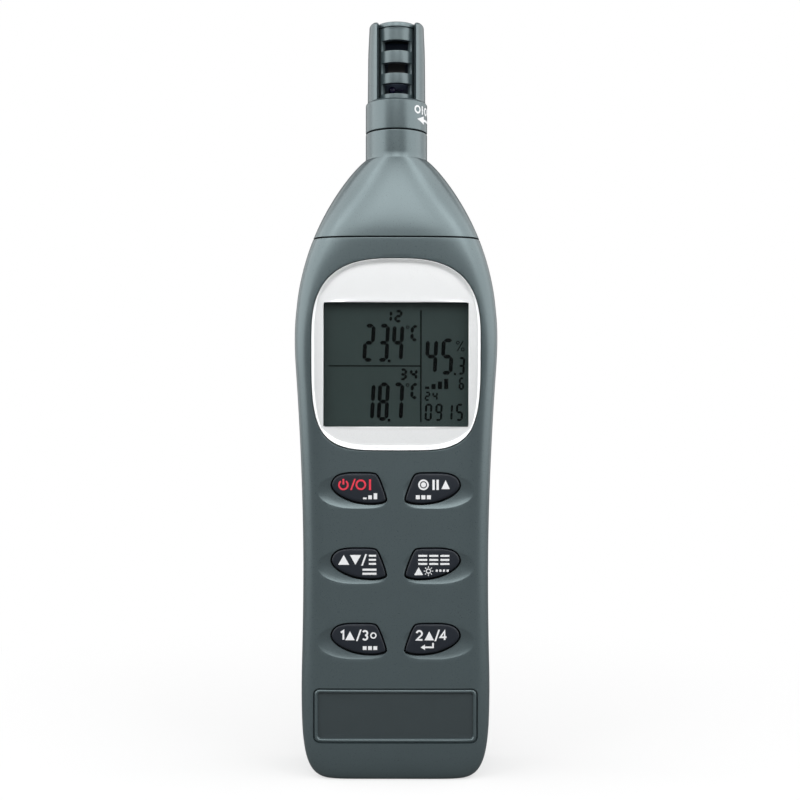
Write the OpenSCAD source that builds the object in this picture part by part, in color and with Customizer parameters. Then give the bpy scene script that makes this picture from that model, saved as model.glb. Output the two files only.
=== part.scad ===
// Digital psychrometer: a slim two-shell housing with a display, six keys and a tapered nose
// that carries a ventilated sensor head under a turning guard.
// It stands on its foot: +Z runs up to the sensor head and the display faces -Y.
// The origin is the middle of the flat foot, on the axis of the sensor head.

/* [Housing outline] */
// Width of the flat foot
foot_w = 30; // [20:1:36]
// Greatest width of the lower housing
hip_w = 46; // [45:0.5:50]
// Width at the waist, beside the keys
waist_w = 45; // [44:0.5:48]
// Greatest width of the housing, beside the display
shoulder_w = 49.4; // [48:0.2:56]
// Height of the widest part of the lower housing
hip_z = 22; // [18:1:26]
// Height of the waist
waist_z = 50; // [42:1:58]
// Height of the shoulder
shoulder_z = 103; // [98:1:108]
// Height of the seam between the covers and the nose
seam_z = 128; // [126:0.5:130]
// Height of the crease where the nose meets its neck
neck_z = 148.2; // [146:0.2:152]
// Depth of the housing in front of the head axis
front_d = 10.3; // [10.3:0.1:12]
// Depth of the housing behind the head axis
rear_d = 13.4; // [13.4:0.1:15]
// Depth of the foot in front of the head axis
foot_front_d = 7.6; // [5:0.2:9]
// Depth of the foot behind the head axis
foot_rear_d = 9.6; // [6:0.2:12]
// Height where the front face starts to slope back to the nose
front_slope_z = 112; // [106:1:116]
// Height where the back starts to slope forward to the nose
rear_slope_z = 95; // [86:1:104]
// How square the housing's section is: 2 is an ellipse
squareness = 5.5; // [5:0.1:7]
// Wall thickness of the covers
wall = 2; // [1.6:0.1:2.2]
// Wall thickness of the nose
nose_wall = 1.8; // [1.4:0.1:2.2]
// Visible gap at each seam
seam_gap = 0.3; // [0.2:0.05:0.4]

/* [Sensor head] */
// Diameter of the neck and of the guard's collar
neck_d = 14.9; // [14:0.1:16]
// Length of the neck above the crease
neck_h = 6.3; // [4:0.1:9]
// Length of the guard
guard_h = 25.8; // [24:0.2:30]
// Length of the guard's collar
collar_h = 7.3; // [6:0.1:8]
// Diameter of the guard above its collar
guard_d = 14; // [13.4:0.1:14.4]
// Diameter of the guard's bore
guard_bore_d = 10.7; // [10.5:0.1:11]
// Height of the slot floor above the guard's lower end
slot_z = 6.8; // [6:0.1:7.2]
// Half angle of each slot in the guard
slot_angle = 42; // [36:1:44]
// Half angle of each cage window
window_angle = 39; // [32:1:41]
// Height of a cage window
window_h = 2.4; // [1.6:0.1:3]
// Spacing of the cage windows
window_pitch = 5.15; // [4.8:0.05:5.4]
// Number of cage windows, one above the other
window_count = 3; // [2:1:3]
// Outer diameter of the cage
cage_d = 10.1; // [9.8:0.1:10.1]
// Wall thickness of the cage
cage_wall = 1.3; // [1:0.1:1.6]

/* [Display] */
// Half width of the bezel
bezel_half_w = 19.9; // [19.5:0.1:20.2]
// Height of the bezel's widest line
bezel_z = 104; // [102:0.5:105]
// Reach of the bezel above its widest line
bezel_up = 18.7; // [17:0.1:19]
// Reach of the bezel below its widest line
bezel_down = 25.9; // [24:0.1:26]
// How far the bezel stands proud of the front face
bezel_proud = 0.3; // [0.1:0.05:0.5]
// Depth of the bezel's seat behind the head axis plane's front face
bezel_seat = 1.3; // [1.1:0.1:1.4]
// Width of the display window
display_w = 33.7; // [30:0.1:34]
// Height of the display window
display_h = 28.8; // [26:0.1:29]
// Height of the middle of the display window
display_z = 98; // [96:0.2:99]
// Border of the lens behind the bezel
lens_border = 1; // [0.6:0.1:1.2]
// Thickness of the lens
lens_t = 1; // [0.8:0.1:1]
// Thickness of the display glass
glass_t = 2; // [1.6:0.1:2]

/* [Keys] */
// Width of a key
key_w = 12.9; // [11:0.1:13.4]
// Height of a key
key_h = 7.2; // [6:0.1:8]
// Radius that rounds a key's corners
key_round = 1.1; // [0.8:0.1:1.2]
// Distance of the key centres from the middle of the housing
key_x = 8.7; // [8.2:0.1:9]
// Height of the lowest row of keys
key_z = 33.6; // [31:0.2:36]
// Spacing of the rows of keys
key_pitch = 17.7; // [15:0.1:18.5]
// Number of rows of keys
key_rows = 3; // [3:1:3]
// How far a key stands proud of the front face
key_proud = 0.2; // [0:0.05:0.3]
// How far a key moves when pressed
key_travel = 0.8; // [0.5:0.1:0.9]
// Clearance around a key
key_gap = 0.3; // [0.2:0.05:0.4]
// Length of a finger scoop
scoop_w = 16.6; // [14:0.2:17]
// Height of a finger scoop
scoop_h = 8.6; // [7:0.2:10]
// Depth of a finger scoop
scoop_d = 1.5; // [1:0.1:1.6]

/* [Label recess] */
// Width of the recess for the label
recess_w = 38.8; // [30:0.2:39]
// Height of the recess
recess_h = 13; // [8:0.2:14]
// Height of the middle of the recess
recess_z = 15.4; // [14:0.1:17]
// Depth of the recess
recess_d = 0.5; // [0.3:0.05:0.6]

/* [Circuit board] */
// Width of the board
board_w = 37; // [34:0.5:38]
// Height of the board's lower edge
board_z = 13; // [12.5:0.5:15]
// Height of the board's upper edge
board_top_z = 115.5; // [114.6:0.1:116]
// Thickness of the board
board_t = 1.6; // [1.2:0.1:1.6]
// Distance of the board's front face from the head axis
board_y = 4.6; // [4.4:0.1:4.8]

/* [Batteries] */
// Diameter of a battery
cell_d = 10.5; // [9.6:0.1:10.5]
// Length of a battery without its button
cell_l = 43.7; // [40:0.1:44]
// Spacing of the batteries
cell_pitch = 12.3; // [11.6:0.1:12.4]
// Number of batteries, side by side
cell_count = 3; // [2:1:3]
// Height of the battery door's lower edge
door_z = 14; // [13.8:0.1:15]
// Height of the battery door
door_h = 48.6; // [48.6:0.1:50]
// Width of the battery door
door_w = 36; // [36:0.1:36.4]

/* [Screws] */
// Diameter of a housing screw
screw_d = 1.9; // [1.6:0.1:2.1]
// Length of a housing screw under its head
screw_l = 9.5; // [8:0.1:10]
// Distance of the housing screws from the middle
screw_x = 15; // [13.5:0.1:15.4]
// Height of the lower housing screws
screw_low_z = 7.6; // [7:0.1:7.8]
// Height of the upper housing screws
screw_high_z = 119.2; // [118.8:0.1:119.6]

/* [Hidden] */
$fn = 48;
clear = 0.3;
snug = 0.1;
over = 0.01;

// Section of the housing at one height
neck_r = neck_d / 2;
foot_power = 6;
foot_softness = 0.35;
nose_power = 2.2;
nose_softness = 0.9;
arc_steps = 24;

function share(z, low, high) = (z - low) / (high - low);
function ease(u) = pow(cos(90 * max(0, min(1, u))), 2);
function foot_curve(z) = pow(1 - pow((hip_z - z) / hip_z, foot_power), foot_softness);
function half_w(z) =
    z < hip_z ? foot_w / 2 + (hip_w - foot_w) / 2 * foot_curve(z)
    : z < waist_z ? waist_w / 2 + (hip_w - waist_w) / 2 * pow(share(z, waist_z, hip_z), 2)
    : z < shoulder_z ? waist_w / 2
        + (shoulder_w - waist_w) / 2 * pow(share(z, waist_z, shoulder_z), 1.8)
    : neck_r + (shoulder_w / 2 - neck_r)
        * pow(1 - pow(share(z, shoulder_z, neck_z), nose_power), nose_softness);
function depth(z, deep, foot, slope_z) =
    z < hip_z ? foot + (deep - foot) * foot_curve(z)
    : neck_r + (deep - neck_r) * ease(share(z, slope_z, neck_z));
function front_depth(z) = depth(z, front_d, foot_front_d, front_slope_z);
function rear_depth(z) = depth(z, rear_d, foot_rear_d, rear_slope_z);
function power(z) = 2 + (squareness - 2) * ease(share(z, shoulder_z, neck_z));
function signed_pow(v, p) = sign(v) * pow(abs(v), p);

// One ring of points at height z, pulled in by inset, from angle a0 to a1
function ring(z, inset, a0 = 0, a1 = 180, steps = arc_steps) = [
    for (i = [0:steps])
        let (a = a0 + (a1 - a0) * i / steps)
        [(half_w(z) - inset) * signed_pow(cos(a), 2 / power(z)),
         ((sin(a) < 0 ? front_depth(z) : rear_depth(z)) - inset)
             * signed_pow(sin(a), 2 / power(z)),
         z]
];
function whole_ring(z, inset) = [
    for (i = [0:2 * arc_steps - 1]) ring(z, inset, 0, 360, 2 * arc_steps)[i]
];

// Heights at which the housing is sectioned
foot_levels = [for (a = [90:-10:0]) hip_z * (1 - sin(a))];
function levels_between(z0, z1, n) = [for (i = [0:n]) z0 + (z1 - z0) * i / n];
side_levels = levels_between(hip_z, shoulder_z, 5);
slope_levels = levels_between(shoulder_z, seam_z, 7);
cover_levels = [for (i = [0:9]) foot_levels[i], for (i = [1:5]) side_levels[i],
    for (i = [1:7]) slope_levels[i]];

// Sides of a grid of points, as triangles
function grid_faces(rows, cols, closed = false, start = 0) = [
    for (i = [0:rows - 2], j = [0:cols - (closed ? 1 : 2)])
        let (a = start + i * cols + j, b = start + i * cols + (j + 1) % cols)
        each [[a, a + cols, b + cols], [a, b + cols, b]]
];
function flipped(faces) = [for (f = faces) [f[2], f[1], f[0]]];
function flat_points(rows) = [for (r = rows, p = r) p];

// A closed solid through rings of points that run upwards
module loft(rings) {
    cols = len(rings[0]);
    rows = len(rings);
    polyhedron(
        points = flat_points(rings),
        faces = concat(
            grid_faces(rows, cols, closed = true),
            [[for (j = [0:cols - 1]) j]],
            [[for (j = [cols - 1:-1:0]) (rows - 1) * cols + j]]
        )
    );
}

// Half of the hollow housing, cut at the plane of the head axis
function raised(z) = wall + z * (seam_z - wall) / seam_z;
module half_shell(a0) {
    outer = [for (z = cover_levels) ring(z, 0, a0, a0 + 180)];
    inner = [for (z = cover_levels) ring(raised(z), wall, a0, a0 + 180)];
    cols = arc_steps + 1;
    rows = len(cover_levels);
    n = rows * cols;
    top = (rows - 1) * cols;
    polyhedron(
        points = concat(flat_points(outer), flat_points(inner)),
        faces = concat(
            grid_faces(rows, cols),
            flipped(grid_faces(rows, cols, start = n)),
            [for (i = [0:rows - 2]) let (o = i * cols, p = n + o)
                [o, p, p + cols, o + cols]],
            [for (i = [0:rows - 2]) let (o = (i + 1) * cols - 1, p = n + o)
                [o, o + cols, p + cols, p]],
            [[0, cols - 1, n + cols - 1, n]],
            [[for (j = [0:cols - 1]) j]],
            [[for (j = [cols - 1:-1:0]) n + j]],
            [for (j = [0:cols - 2]) let (o = top + j, p = n + o)
                [o, p, p + 1, o + 1]]
        )
    );
}

// A flat shape in the front view, drawn in X and Z, from y0 to y1
module plate(y0, y1) {
    translate([0, y1, 0]) rotate([90, 0, 0]) linear_extrude(y1 - y0) children();
}
// A bar along Y, from y0 to y1
module bar(x, z, d, y0, y1) {
    translate([x, y1, z]) rotate([90, 0, 0]) cylinder(d = d, h = y1 - y0);
}
module block(x0, x1, y0, y1, z0, z1) {
    translate([x0, y0, z0]) cube([x1 - x0, y1 - y0, z1 - z0]);
}
module both_sides() {
    children();
    mirror([1, 0, 0]) children();
}

// Outline of the bezel: rounder above its widest line than below
bezel_top_power = 2.65;
bezel_low_power = 4.3;
module bezel_outline(grow) {
    polygon([
        for (a = [0:6:354])
            let (up = sin(a) >= 0, p = 2 / (up ? bezel_top_power : bezel_low_power))
            [(bezel_half_w + grow) * signed_pow(cos(a), p),
             bezel_z + ((up ? bezel_up : bezel_down) + grow) * signed_pow(sin(a), p)]
    ]);
}
module display_rect(grow) {
    translate([-display_w / 2 - grow, display_z - display_h / 2 - grow])
        square([display_w + 2 * grow, display_h + 2 * grow]);
}

// Outline of the left key, around its own centre
key_shape = [[-0.42, -0.02], [-0.11, 0.34], [0.24, 0.34], [0.41, -0.27], [0.36, -0.355],
    [0.08, -0.355], [-0.26, -0.22]];
module key_outline(grow) {
    offset(r = key_round + grow, $fn = 24)
        polygon([for (p = key_shape) [p[0] * key_w, p[1] * key_h]]);
}
key_rows_z = [for (i = [0:key_rows - 1]) key_z + i * key_pitch];
module at_key(row, side) {
    mirror([side > 0 ? 1 : 0, 0, 0]) translate([-key_x, 0, key_rows_z[row]]) children();
}
module at_keys() {
    for (row = [0:key_rows - 1], side = [-1, 1]) at_key(row, side) children();
}

// Depths along Y, front to back
seat_y = bezel_seat - front_d;
lens_y0 = seat_y;
glass_y0 = lens_y0 + lens_t + snug;
board_y0 = -board_y;
board_y1 = board_y0 + board_t;
pad_t = 0.7;
pad_y = -front_d + wall + pad_t;
mat_y0 = pad_y + snug;
mat_t = 0.8;
mat_margin = 2;
flange_y0 = pad_y + clear;
flange_t = 0.6;
dome_t = 0.3;
dome_d = 5;
stem_y1 = board_y0 - dome_t - snug - key_travel;
cell_y = rear_d - wall - clear - cell_d / 2;
bay_y1 = cell_y - cell_d / 2 - clear;
bay_t = 0.9;
bay_y0 = bay_y1 - bay_t;

// Screw bosses of the housing
boss_d = 4.8;
rear_boss_d = 5.8;
rear_boss_sunk = 1.4;
head_d = 3.8;
head_h = 1.4;
head_y = 4.6;
screw_clear = 0.1;
hole_spare = 0.5;
screw_spots = [[-screw_x, screw_low_z], [screw_x, screw_low_z],
    [-screw_x, screw_high_z], [screw_x, screw_high_z]];

// Board screws and the posts that they bite into
post_d = 4;
post_screw_d = 1.6;
post_screw_l = 4.2;
post_x = 15.5;
post_low_z = board_z + 3;
post_high_z = key_rows_z[key_rows - 1] + key_h / 2 + mat_margin + post_d / 2 + 1;
post_spots = [[-post_x, post_low_z], [post_x, post_low_z],
    [-post_x, post_high_z], [post_x, post_high_z]];

// Finger scoop: a spindle whose axis lies in front of the face
scoop_x = -10;
scoop_drop = 0.6;
scoop_sum = pow(scoop_h / 2, 2) / scoop_d;
scoop_r = (scoop_sum + scoop_d) / 2;
scoop_arc = (pow(scoop_w / 2, 2) + pow(scoop_d, 2)) / (2 * scoop_d);
module scoop() {
    translate([scoop_x, -front_d - scoop_r + scoop_d, -scoop_drop]) rotate([0, 90, 0])
        rotate_extrude()
            intersection() {
                translate([scoop_r - scoop_arc, 0]) circle(r = scoop_arc, $fn = 96);
                translate([0, -scoop_w]) square([scoop_r + 1, 2 * scoop_w]);
            }
}
module scoops() {
    for (z = key_rows_z) translate([0, 0, z]) both_sides() scoop();
}

// Rounded recess for a label, cut to an even depth below the curved face
recess_round = 1.5;
module recess_outline(grow) {
    translate([0, recess_z])
        offset(r = recess_round + grow, $fn = 24)
            square([recess_w - 2 * recess_round, recess_h - 2 * recess_round], center = true);
}
recess_levels = levels_between(recess_z - recess_h / 2 - 1, recess_z + recess_h / 2 + 1, 6);
module face_body(levels, inset) {
    loft([for (z = levels) ring(z, inset, 180, 360)]);
}

// Front cover: half shell with seats for the display and keypad, posts and screw bosses
bezel_gap = 0.25;
seat_side = 2;
seat_end = 2.5;
pad_sunk = 1.6;
lens_frame = 1.4;
boss_sunk = 1;
post_sunk = 0.5;
module front_cover() {
    color([0.30, 0.34, 0.35]) difference() {
        union() {
            half_shell(180);
            keypad_seat();
            display_seat();
            for (s = screw_spots)
                bar(s[0], s[1], boss_d, boss_sunk - front_depth(s[1]), -snug);
            for (s = post_spots) bar(s[0], s[1], post_d, pad_y - post_sunk, board_y0);
        }
        plate(-front_d - 5, seat_y) bezel_outline(bezel_gap);
        plate(-front_d, 0) display_rect(lens_border + snug);
        display_pocket(glass_y0 - snug, snug + holder_wall + clear);
        scoops();
        at_keys() plate(-front_d - 2, 0) key_outline(key_gap);
        difference() {
            plate(-front_d - 2, -front_d + 3) recess_outline(0);
            face_body(recess_levels, recess_d);
        }
        for (s = screw_spots)
            bar(s[0], s[1], screw_d + screw_clear, head_y - screw_l - hole_spare, 1);
        for (s = post_spots)
            bar(s[0], s[1], post_screw_d + screw_clear, board_y1 - post_screw_l - clear, 1);
    }
}
module keypad_seat() {
    w = 2 * (key_x + key_w / 2 + seat_side);
    z0 = key_rows_z[0] - key_h / 2 - seat_end;
    z1 = key_rows_z[key_rows - 1] + key_h / 2 + seat_end;
    block(-w / 2, w / 2, pad_y - pad_sunk, pad_y, z0, z1);
}
module display_seat() {
    plate(seat_y, seat_y + lens_t) display_rect(lens_border + lens_frame);
}

// Battery bay: a tray wall, end walls and side walls inside the rear cover
bay_x = cell_pitch * (cell_count - 1) / 2 + cell_d / 2 + clear;
tongue_l = 1.3;
bay_z0 = door_z - tongue_l - 0.5;
bay_z1 = door_z + door_h + snug;
bay_wall = 0.9;
bay_sunk = 0.3;
bay_reach = rear_d - wall + bay_sunk;
side_drop = 0.6;
door_gap = 0.25;

module rear_cover() {
    color([0.27, 0.31, 0.32]) difference() {
        union() {
            half_shell(0);
            block(-bay_x - bay_wall, bay_x + bay_wall, bay_y0, bay_y1,
                bay_z0 - bay_wall, bay_z1 + bay_wall);
            for (z = [bay_z0 - bay_wall, bay_z1])
                block(-bay_x - bay_wall, bay_x + bay_wall, bay_y0, bay_reach,
                    z, z + bay_wall);
            both_sides()
                block(bay_x, bay_x + bay_wall, bay_y0, rear_d - wall - side_drop,
                    bay_z0 - bay_wall, bay_z1 + bay_wall);
            for (s = screw_spots)
                bar(s[0], s[1], rear_boss_d, snug, rear_depth(s[1]) - rear_boss_sunk);
        }
        block(-door_w / 2, door_w / 2, rear_d / 2, rear_d + 2, door_z, door_z + door_h);
        for (s = screw_spots) {
            bar(s[0], s[1], screw_d + 2 * screw_clear, -1, head_y + 1);
            bar(s[0], s[1], head_d + 4 * screw_clear, head_y, rear_d + 2);
        }
        both_sides() translate([tongue_x, 0, 0])
            block(-tongue_w / 2 - clear, tongue_w / 2 + clear, tongue_y - clear,
                tongue_y + tongue_t + clear, door_z - tongue_l - clear, door_z + 1);
    }
}

// Battery door: a piece of the back's own shell, with two tongues at its foot
tongue_x = 9;
tongue_w = 4;
tongue_t = 0.8;
tongue_y = rear_d - wall - tongue_t - 0.2;
tongue_root = 3;
grip_w = 12;
grip_r = 1.2;
grip_depth = 0.5;
grip_pitch = 2.4;
grip_drop = 6;
module battery_door() {
    color([0.27, 0.31, 0.32]) {
        difference() {
            intersection() {
                half_shell(0);
                block(-door_w / 2 + door_gap, door_w / 2 - door_gap, rear_d / 2, rear_d + 2,
                    door_z + door_gap, door_z + door_h - door_gap);
            }
            for (i = [0:3])
                translate([-grip_w / 2, rear_d + grip_r - grip_depth,
                    door_z + door_h - grip_drop - grip_pitch * i])
                    rotate([0, 90, 0]) cylinder(r = grip_r, h = grip_w);
        }
        both_sides() translate([tongue_x, 0, 0]) {
            block(-tongue_w / 2, tongue_w / 2, tongue_y, tongue_y + tongue_t,
                door_z - tongue_l, door_z + tongue_root);
            block(-tongue_w / 2, tongue_w / 2, tongue_y, rear_d - wall + bay_sunk,
                door_z + door_gap, door_z + tongue_root);
        }
    }
}

// Nose: a hollow shell with a spigot that the two covers close around
spigot_l = 4.4;
spigot_wall = 1.3;
nose_z0 = seam_z + seam_gap;
spigot_inset = wall + clear;
ceiling_z = neck_z - 2;
neck_sunk = 0.4;
neck_step = 0.15;
stem_r = 4.6;
stem_fit = 0.08;
nose_levels = [for (i = [0:9]) nose_z0 + (neck_z - neck_step - nose_z0) * sin(90 * i / 9)];
hollow_z = nose_z0 + 2.6;
hollow_levels = levels_between(ceiling_z, hollow_z, 5);
module nose_cone() {
    color([0.36, 0.41, 0.42]) difference() {
        union() {
            loft(concat(
                [for (z = hollow_levels) whole_ring(z, nose_wall)],
                [whole_ring(nose_z0, spigot_inset + spigot_wall)],
                [whole_ring(seam_z - spigot_l, spigot_inset + spigot_wall)],
                [whole_ring(seam_z - spigot_l, spigot_inset)],
                [whole_ring(nose_z0, spigot_inset)],
                [for (z = nose_levels) whole_ring(z, 0)]
            ));
            translate([0, 0, neck_z - neck_sunk]) cylinder(r = neck_r, h = neck_h + neck_sunk);
        }
        translate([0, 0, ceiling_z - 2]) cylinder(r = stem_r + stem_fit, h = neck_h + 5);
    }
}

// Sensor head, above the neck
neck_top_z = neck_z + neck_h;
guard_z0 = neck_top_z + seam_gap;
head_z = guard_z0 + guard_h;
guard_r = guard_d / 2;
guard_taper = 0.15;
guard_round = 1.4;
cage_r = cage_d / 2;
cage_top_z = head_z - clear;
cap_t = 1.1;
groove_h = 0.3;
groove_d = 0.35;
step_h = 0.5;
window_lift = 1.9;
window_z = guard_z0 + slot_z + window_lift;
cage_edge = 0.3;
cap_solid = 0.8;
snap_z = guard_z0 + 3;
snap_h = 1;
snap_d = 0.5;
flange_r = 5.45;
flange_h = 1.2;
reach = 20;

// A wedge around the head axis that opens towards the front
module wedge(angle, z0, h) {
    translate([0, 0, z0]) linear_extrude(h)
        polygon([[0, 0], [-reach * sin(angle), -reach * cos(angle)],
            [reach * sin(angle), -reach * cos(angle)]]);
}
module wedges(angle, z0, h) {
    wedge(angle, z0, h);
    mirror([0, 1, 0]) wedge(angle, z0, h);
}

module sensor_guard() {
    color([0.36, 0.41, 0.42]) difference() {
        rotate_extrude() polygon(concat(
            [[guard_bore_d / 2, guard_z0], [neck_r, guard_z0],
             [neck_r, guard_z0 + collar_h], [guard_r, guard_z0 + collar_h + step_h]],
            [for (a = [0:15:90])
                [guard_r - guard_taper - guard_round * (1 - cos(a)),
                 head_z - guard_round * (1 - sin(a))]],
            [[guard_bore_d / 2, head_z]]
        ));
        wedges(slot_angle, guard_z0 + slot_z, guard_h);
        translate([0, 0, snap_z - snug])
            cylinder(r = cage_r + snap_d + clear, h = snap_h + 2 * snug);
    }
}

module sensor_cage() {
    bore_r = cage_r - cage_wall;
    color([0.20, 0.23, 0.24]) difference() {
        rotate_extrude() polygon([
            [bore_r, ceiling_z - flange_h - clear], [flange_r, ceiling_z - flange_h - clear],
            [flange_r, ceiling_z - clear], [stem_r, ceiling_z - clear],
            [stem_r, neck_top_z + over], [cage_r, neck_top_z + over],
            [cage_r, snap_z], [cage_r + snap_d, snap_z + snap_h / 3],
            [cage_r + snap_d, snap_z + snap_h * 2 / 3], [cage_r, snap_z + snap_h],
            [cage_r, cage_top_z - cap_t - groove_h],
            [cage_r - groove_d, cage_top_z - cap_t - groove_h],
            [cage_r - groove_d, cage_top_z - cap_t], [cage_r, cage_top_z - cap_t],
            [cage_r, cage_top_z - cage_edge], [cage_r - cage_edge, cage_top_z],
            [0, cage_top_z], [0, cage_top_z - cap_t - cap_solid],
            [bore_r, cage_top_z - cap_t - cap_solid]
        ]);
        for (i = [0:window_count - 1])
            wedges(window_angle, window_z + i * window_pitch, window_h);
    }
}

// Display stack
module display_pocket(y0, grow) {
    block(-glass_hw - grow, glass_hw + grow, y0, 0, glass_z0 - grow, glass_z1 + grow);
}
glass_border = 0.7;
glass_foot = 1.6;
glass_z0 = display_z - display_h / 2 - glass_foot;
glass_z1 = display_z + display_h / 2 + glass_border;
glass_hw = display_w / 2 + glass_border;
holder_wall = 0.9;
holder_set = 0.6;
strip_h = 1.8;
module display_bezel() {
    levels = levels_between(bezel_z - bezel_down - 1, bezel_z + bezel_up + 1, 12);
    color([0.80, 0.82, 0.84]) difference() {
        intersection() {
            plate(-front_d - 3, seat_y) bezel_outline(0);
            face_body(levels, -bezel_proud);
        }
        plate(-front_d - 4, 0) display_rect(0);
    }
}
module display_lens() {
    color([0.55, 0.62, 0.62, 0.5]) plate(lens_y0, lens_y0 + lens_t) display_rect(lens_border);
}
module lcd_glass() {
    color([0.24, 0.29, 0.28])
        block(-glass_hw, glass_hw, glass_y0, glass_y0 + glass_t, glass_z0, glass_z1);
}
module lcd_holder() {
    grow = snug + holder_wall;
    color([0.85, 0.85, 0.82]) difference() {
        block(-glass_hw - grow, glass_hw + grow, glass_y0 + holder_set, board_y0,
            glass_z0 - grow, glass_z1 + grow);
        display_pocket(glass_y0, snug);
    }
}
module lcd_diffuser() {
    color([0.93, 0.94, 0.90])
        block(-glass_hw, glass_hw, glass_y0 + glass_t + over, board_y0 - over,
            glass_z0 + strip_h + 2 * clear, glass_z1);
}
module contact_strip() {
    color([0.90, 0.45, 0.45])
        block(-glass_hw + 1, glass_hw - 1, glass_y0 + glass_t + over, board_y0 - over,
            glass_z0 + snug, glass_z0 + snug + strip_h);
}

// Circuit board and what is on it
module main_board() {
    color([0.10, 0.35, 0.20]) difference() {
        block(-board_w / 2, board_w / 2, board_y0, board_y1, board_z, board_top_z);
        for (s = post_spots)
            bar(s[0], s[1], post_screw_d + clear, board_y0 - 1, board_y1 + 1);
    }
}
part_h = 1.6;
chip_w = 10;
chip_z = board_top_z - 26;
crystal_x = 10;
crystal_l = 6;
capacitor_d = 3;
capacitor_h = 2.1;
capacitor_xs = [-11, -7, 11];
resistor_w = 2;
resistor_t = 0.6;
resistor_pitch = 4;
module main_chip() {
    color([0.08, 0.08, 0.09])
        block(-chip_w / 2, chip_w / 2, board_y1, board_y1 + part_h, chip_z, chip_z + chip_w);
}
module quartz_crystal() {
    color([0.75, 0.76, 0.78]) translate([crystal_x, board_y1 + part_h / 2, chip_z])
        cylinder(d = part_h, h = crystal_l);
}
module capacitors() {
    color([0.15, 0.20, 0.45])
        for (x = capacitor_xs)
            bar(x, chip_z - 10, capacitor_d, board_y1, board_y1 + capacitor_h);
}
module resistors() {
    color([0.12, 0.12, 0.12])
        for (i = [-3:2]) translate([resistor_pitch * i, 0, 0])
            block(0, resistor_w, board_y1, board_y1 + resistor_t, chip_z - 5, chip_z - 4);
}
module key_domes() {
    color([0.80, 0.78, 0.70])
        at_keys() bar(0, 0, dome_d, board_y0 - dome_t, board_y0);
}

// Keys: each a rubber cap with a flange under the cover and a stem over its dome
key_face_y = -front_d - key_proud;
stem_d = 3;
key_flange = 0.7;
mat_side = 1.3;
module key_cap(row, side) {
    color([0.13, 0.16, 0.19]) at_key(row, side) {
        plate(key_face_y, flange_y0 + over) key_outline(0);
        plate(flange_y0, flange_y0 + flange_t) key_outline(key_flange);
        bar(0, 0, stem_d, flange_y0 + flange_t - over, stem_y1);
    }
}
module keypad_mat() {
    w = 2 * (key_x + key_w / 2 + mat_side);
    color([0.16, 0.18, 0.20]) difference() {
        block(-w / 2, w / 2, mat_y0, mat_y0 + mat_t,
            key_rows_z[0] - key_h / 2 - mat_margin,
            key_rows_z[key_rows - 1] + key_h / 2 + mat_margin);
        at_keys() plate(mat_y0 - 1, mat_y0 + mat_t + 1) key_outline(key_flange + key_gap);
    }
}

// Screws with a cross recess
drive_depth = 0.6;
drive_w = 0.5;
post_head_d = 3;
post_head_h = 0.9;
module screw(d, l, head, h) {
    difference() {
        union() {
            bar(0, 0, d, -l, 0);
            bar(0, 0, head, 0, h);
        }
        for (a = [0, 90]) rotate([0, a, 0])
            block(-head / 3, head / 3, h - drive_depth, h + 1, -drive_w / 2, drive_w / 2);
    }
}
module housing_screws() {
    color([0.62, 0.63, 0.65])
        for (s = screw_spots) translate([s[0], head_y, s[1]])
            screw(screw_d, screw_l, head_d, head_h);
}
module board_screws() {
    color([0.70, 0.70, 0.70])
        for (s = post_spots) translate([s[0], board_y1, s[1]])
            screw(post_screw_d, post_screw_l, post_head_d, post_head_h);
}

// Batteries, springs and contacts
plate_t = 0.3;
button_h = 0.8;
button_d = 3.8;
contact_w = 9;
spring_l = bay_z1 - plate_t - button_h - cell_l - bay_z0 - plate_t;
cell_z = bay_z0 + plate_t + spring_l;
cell_xs = [for (i = [0:cell_count - 1]) (i - (cell_count - 1) / 2) * cell_pitch];
module battery(i) {
    if (i < cell_count) color([0.75, 0.60, 0.25]) translate([cell_xs[i], cell_y, cell_z]) {
        cylinder(d = cell_d, h = cell_l);
        translate([0, 0, cell_l - over]) cylinder(d = button_d, h = button_h + over);
    }
}
spring_turns = 3;
spring_base_r = 3.4;
spring_tip_r = 2;
spring_wire = 0.5;
spring_sides = 6;
spring_steps = 10;
function spring_point(t, a) =
    let (turn = 360 * t * spring_turns,
         r = spring_base_r + (spring_tip_r - spring_base_r) * t + spring_wire / 2 * cos(a),
         z = spring_wire / 2 + (spring_l - spring_wire) * t + spring_wire / 2 * sin(a))
    [r * cos(turn), r * sin(turn), z];
module spring() {
    steps = spring_steps * spring_turns;
    loft([for (i = [0:steps]) [for (k = [0:spring_sides - 1])
        spring_point(i / steps, 360 * k / spring_sides)]]);
}
module battery_springs() {
    color([0.80, 0.80, 0.82])
        for (x = cell_xs) translate([x, cell_y, bay_z0 + plate_t]) spring();
}
module battery_contacts() {
    color([0.82, 0.82, 0.80])
        for (x = cell_xs, z = [bay_z0, bay_z1 - plate_t])
            block(x - contact_w / 2, x + contact_w / 2, cell_y - contact_w / 2,
                cell_y + contact_w / 2, z, z + plate_t);
}

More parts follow.
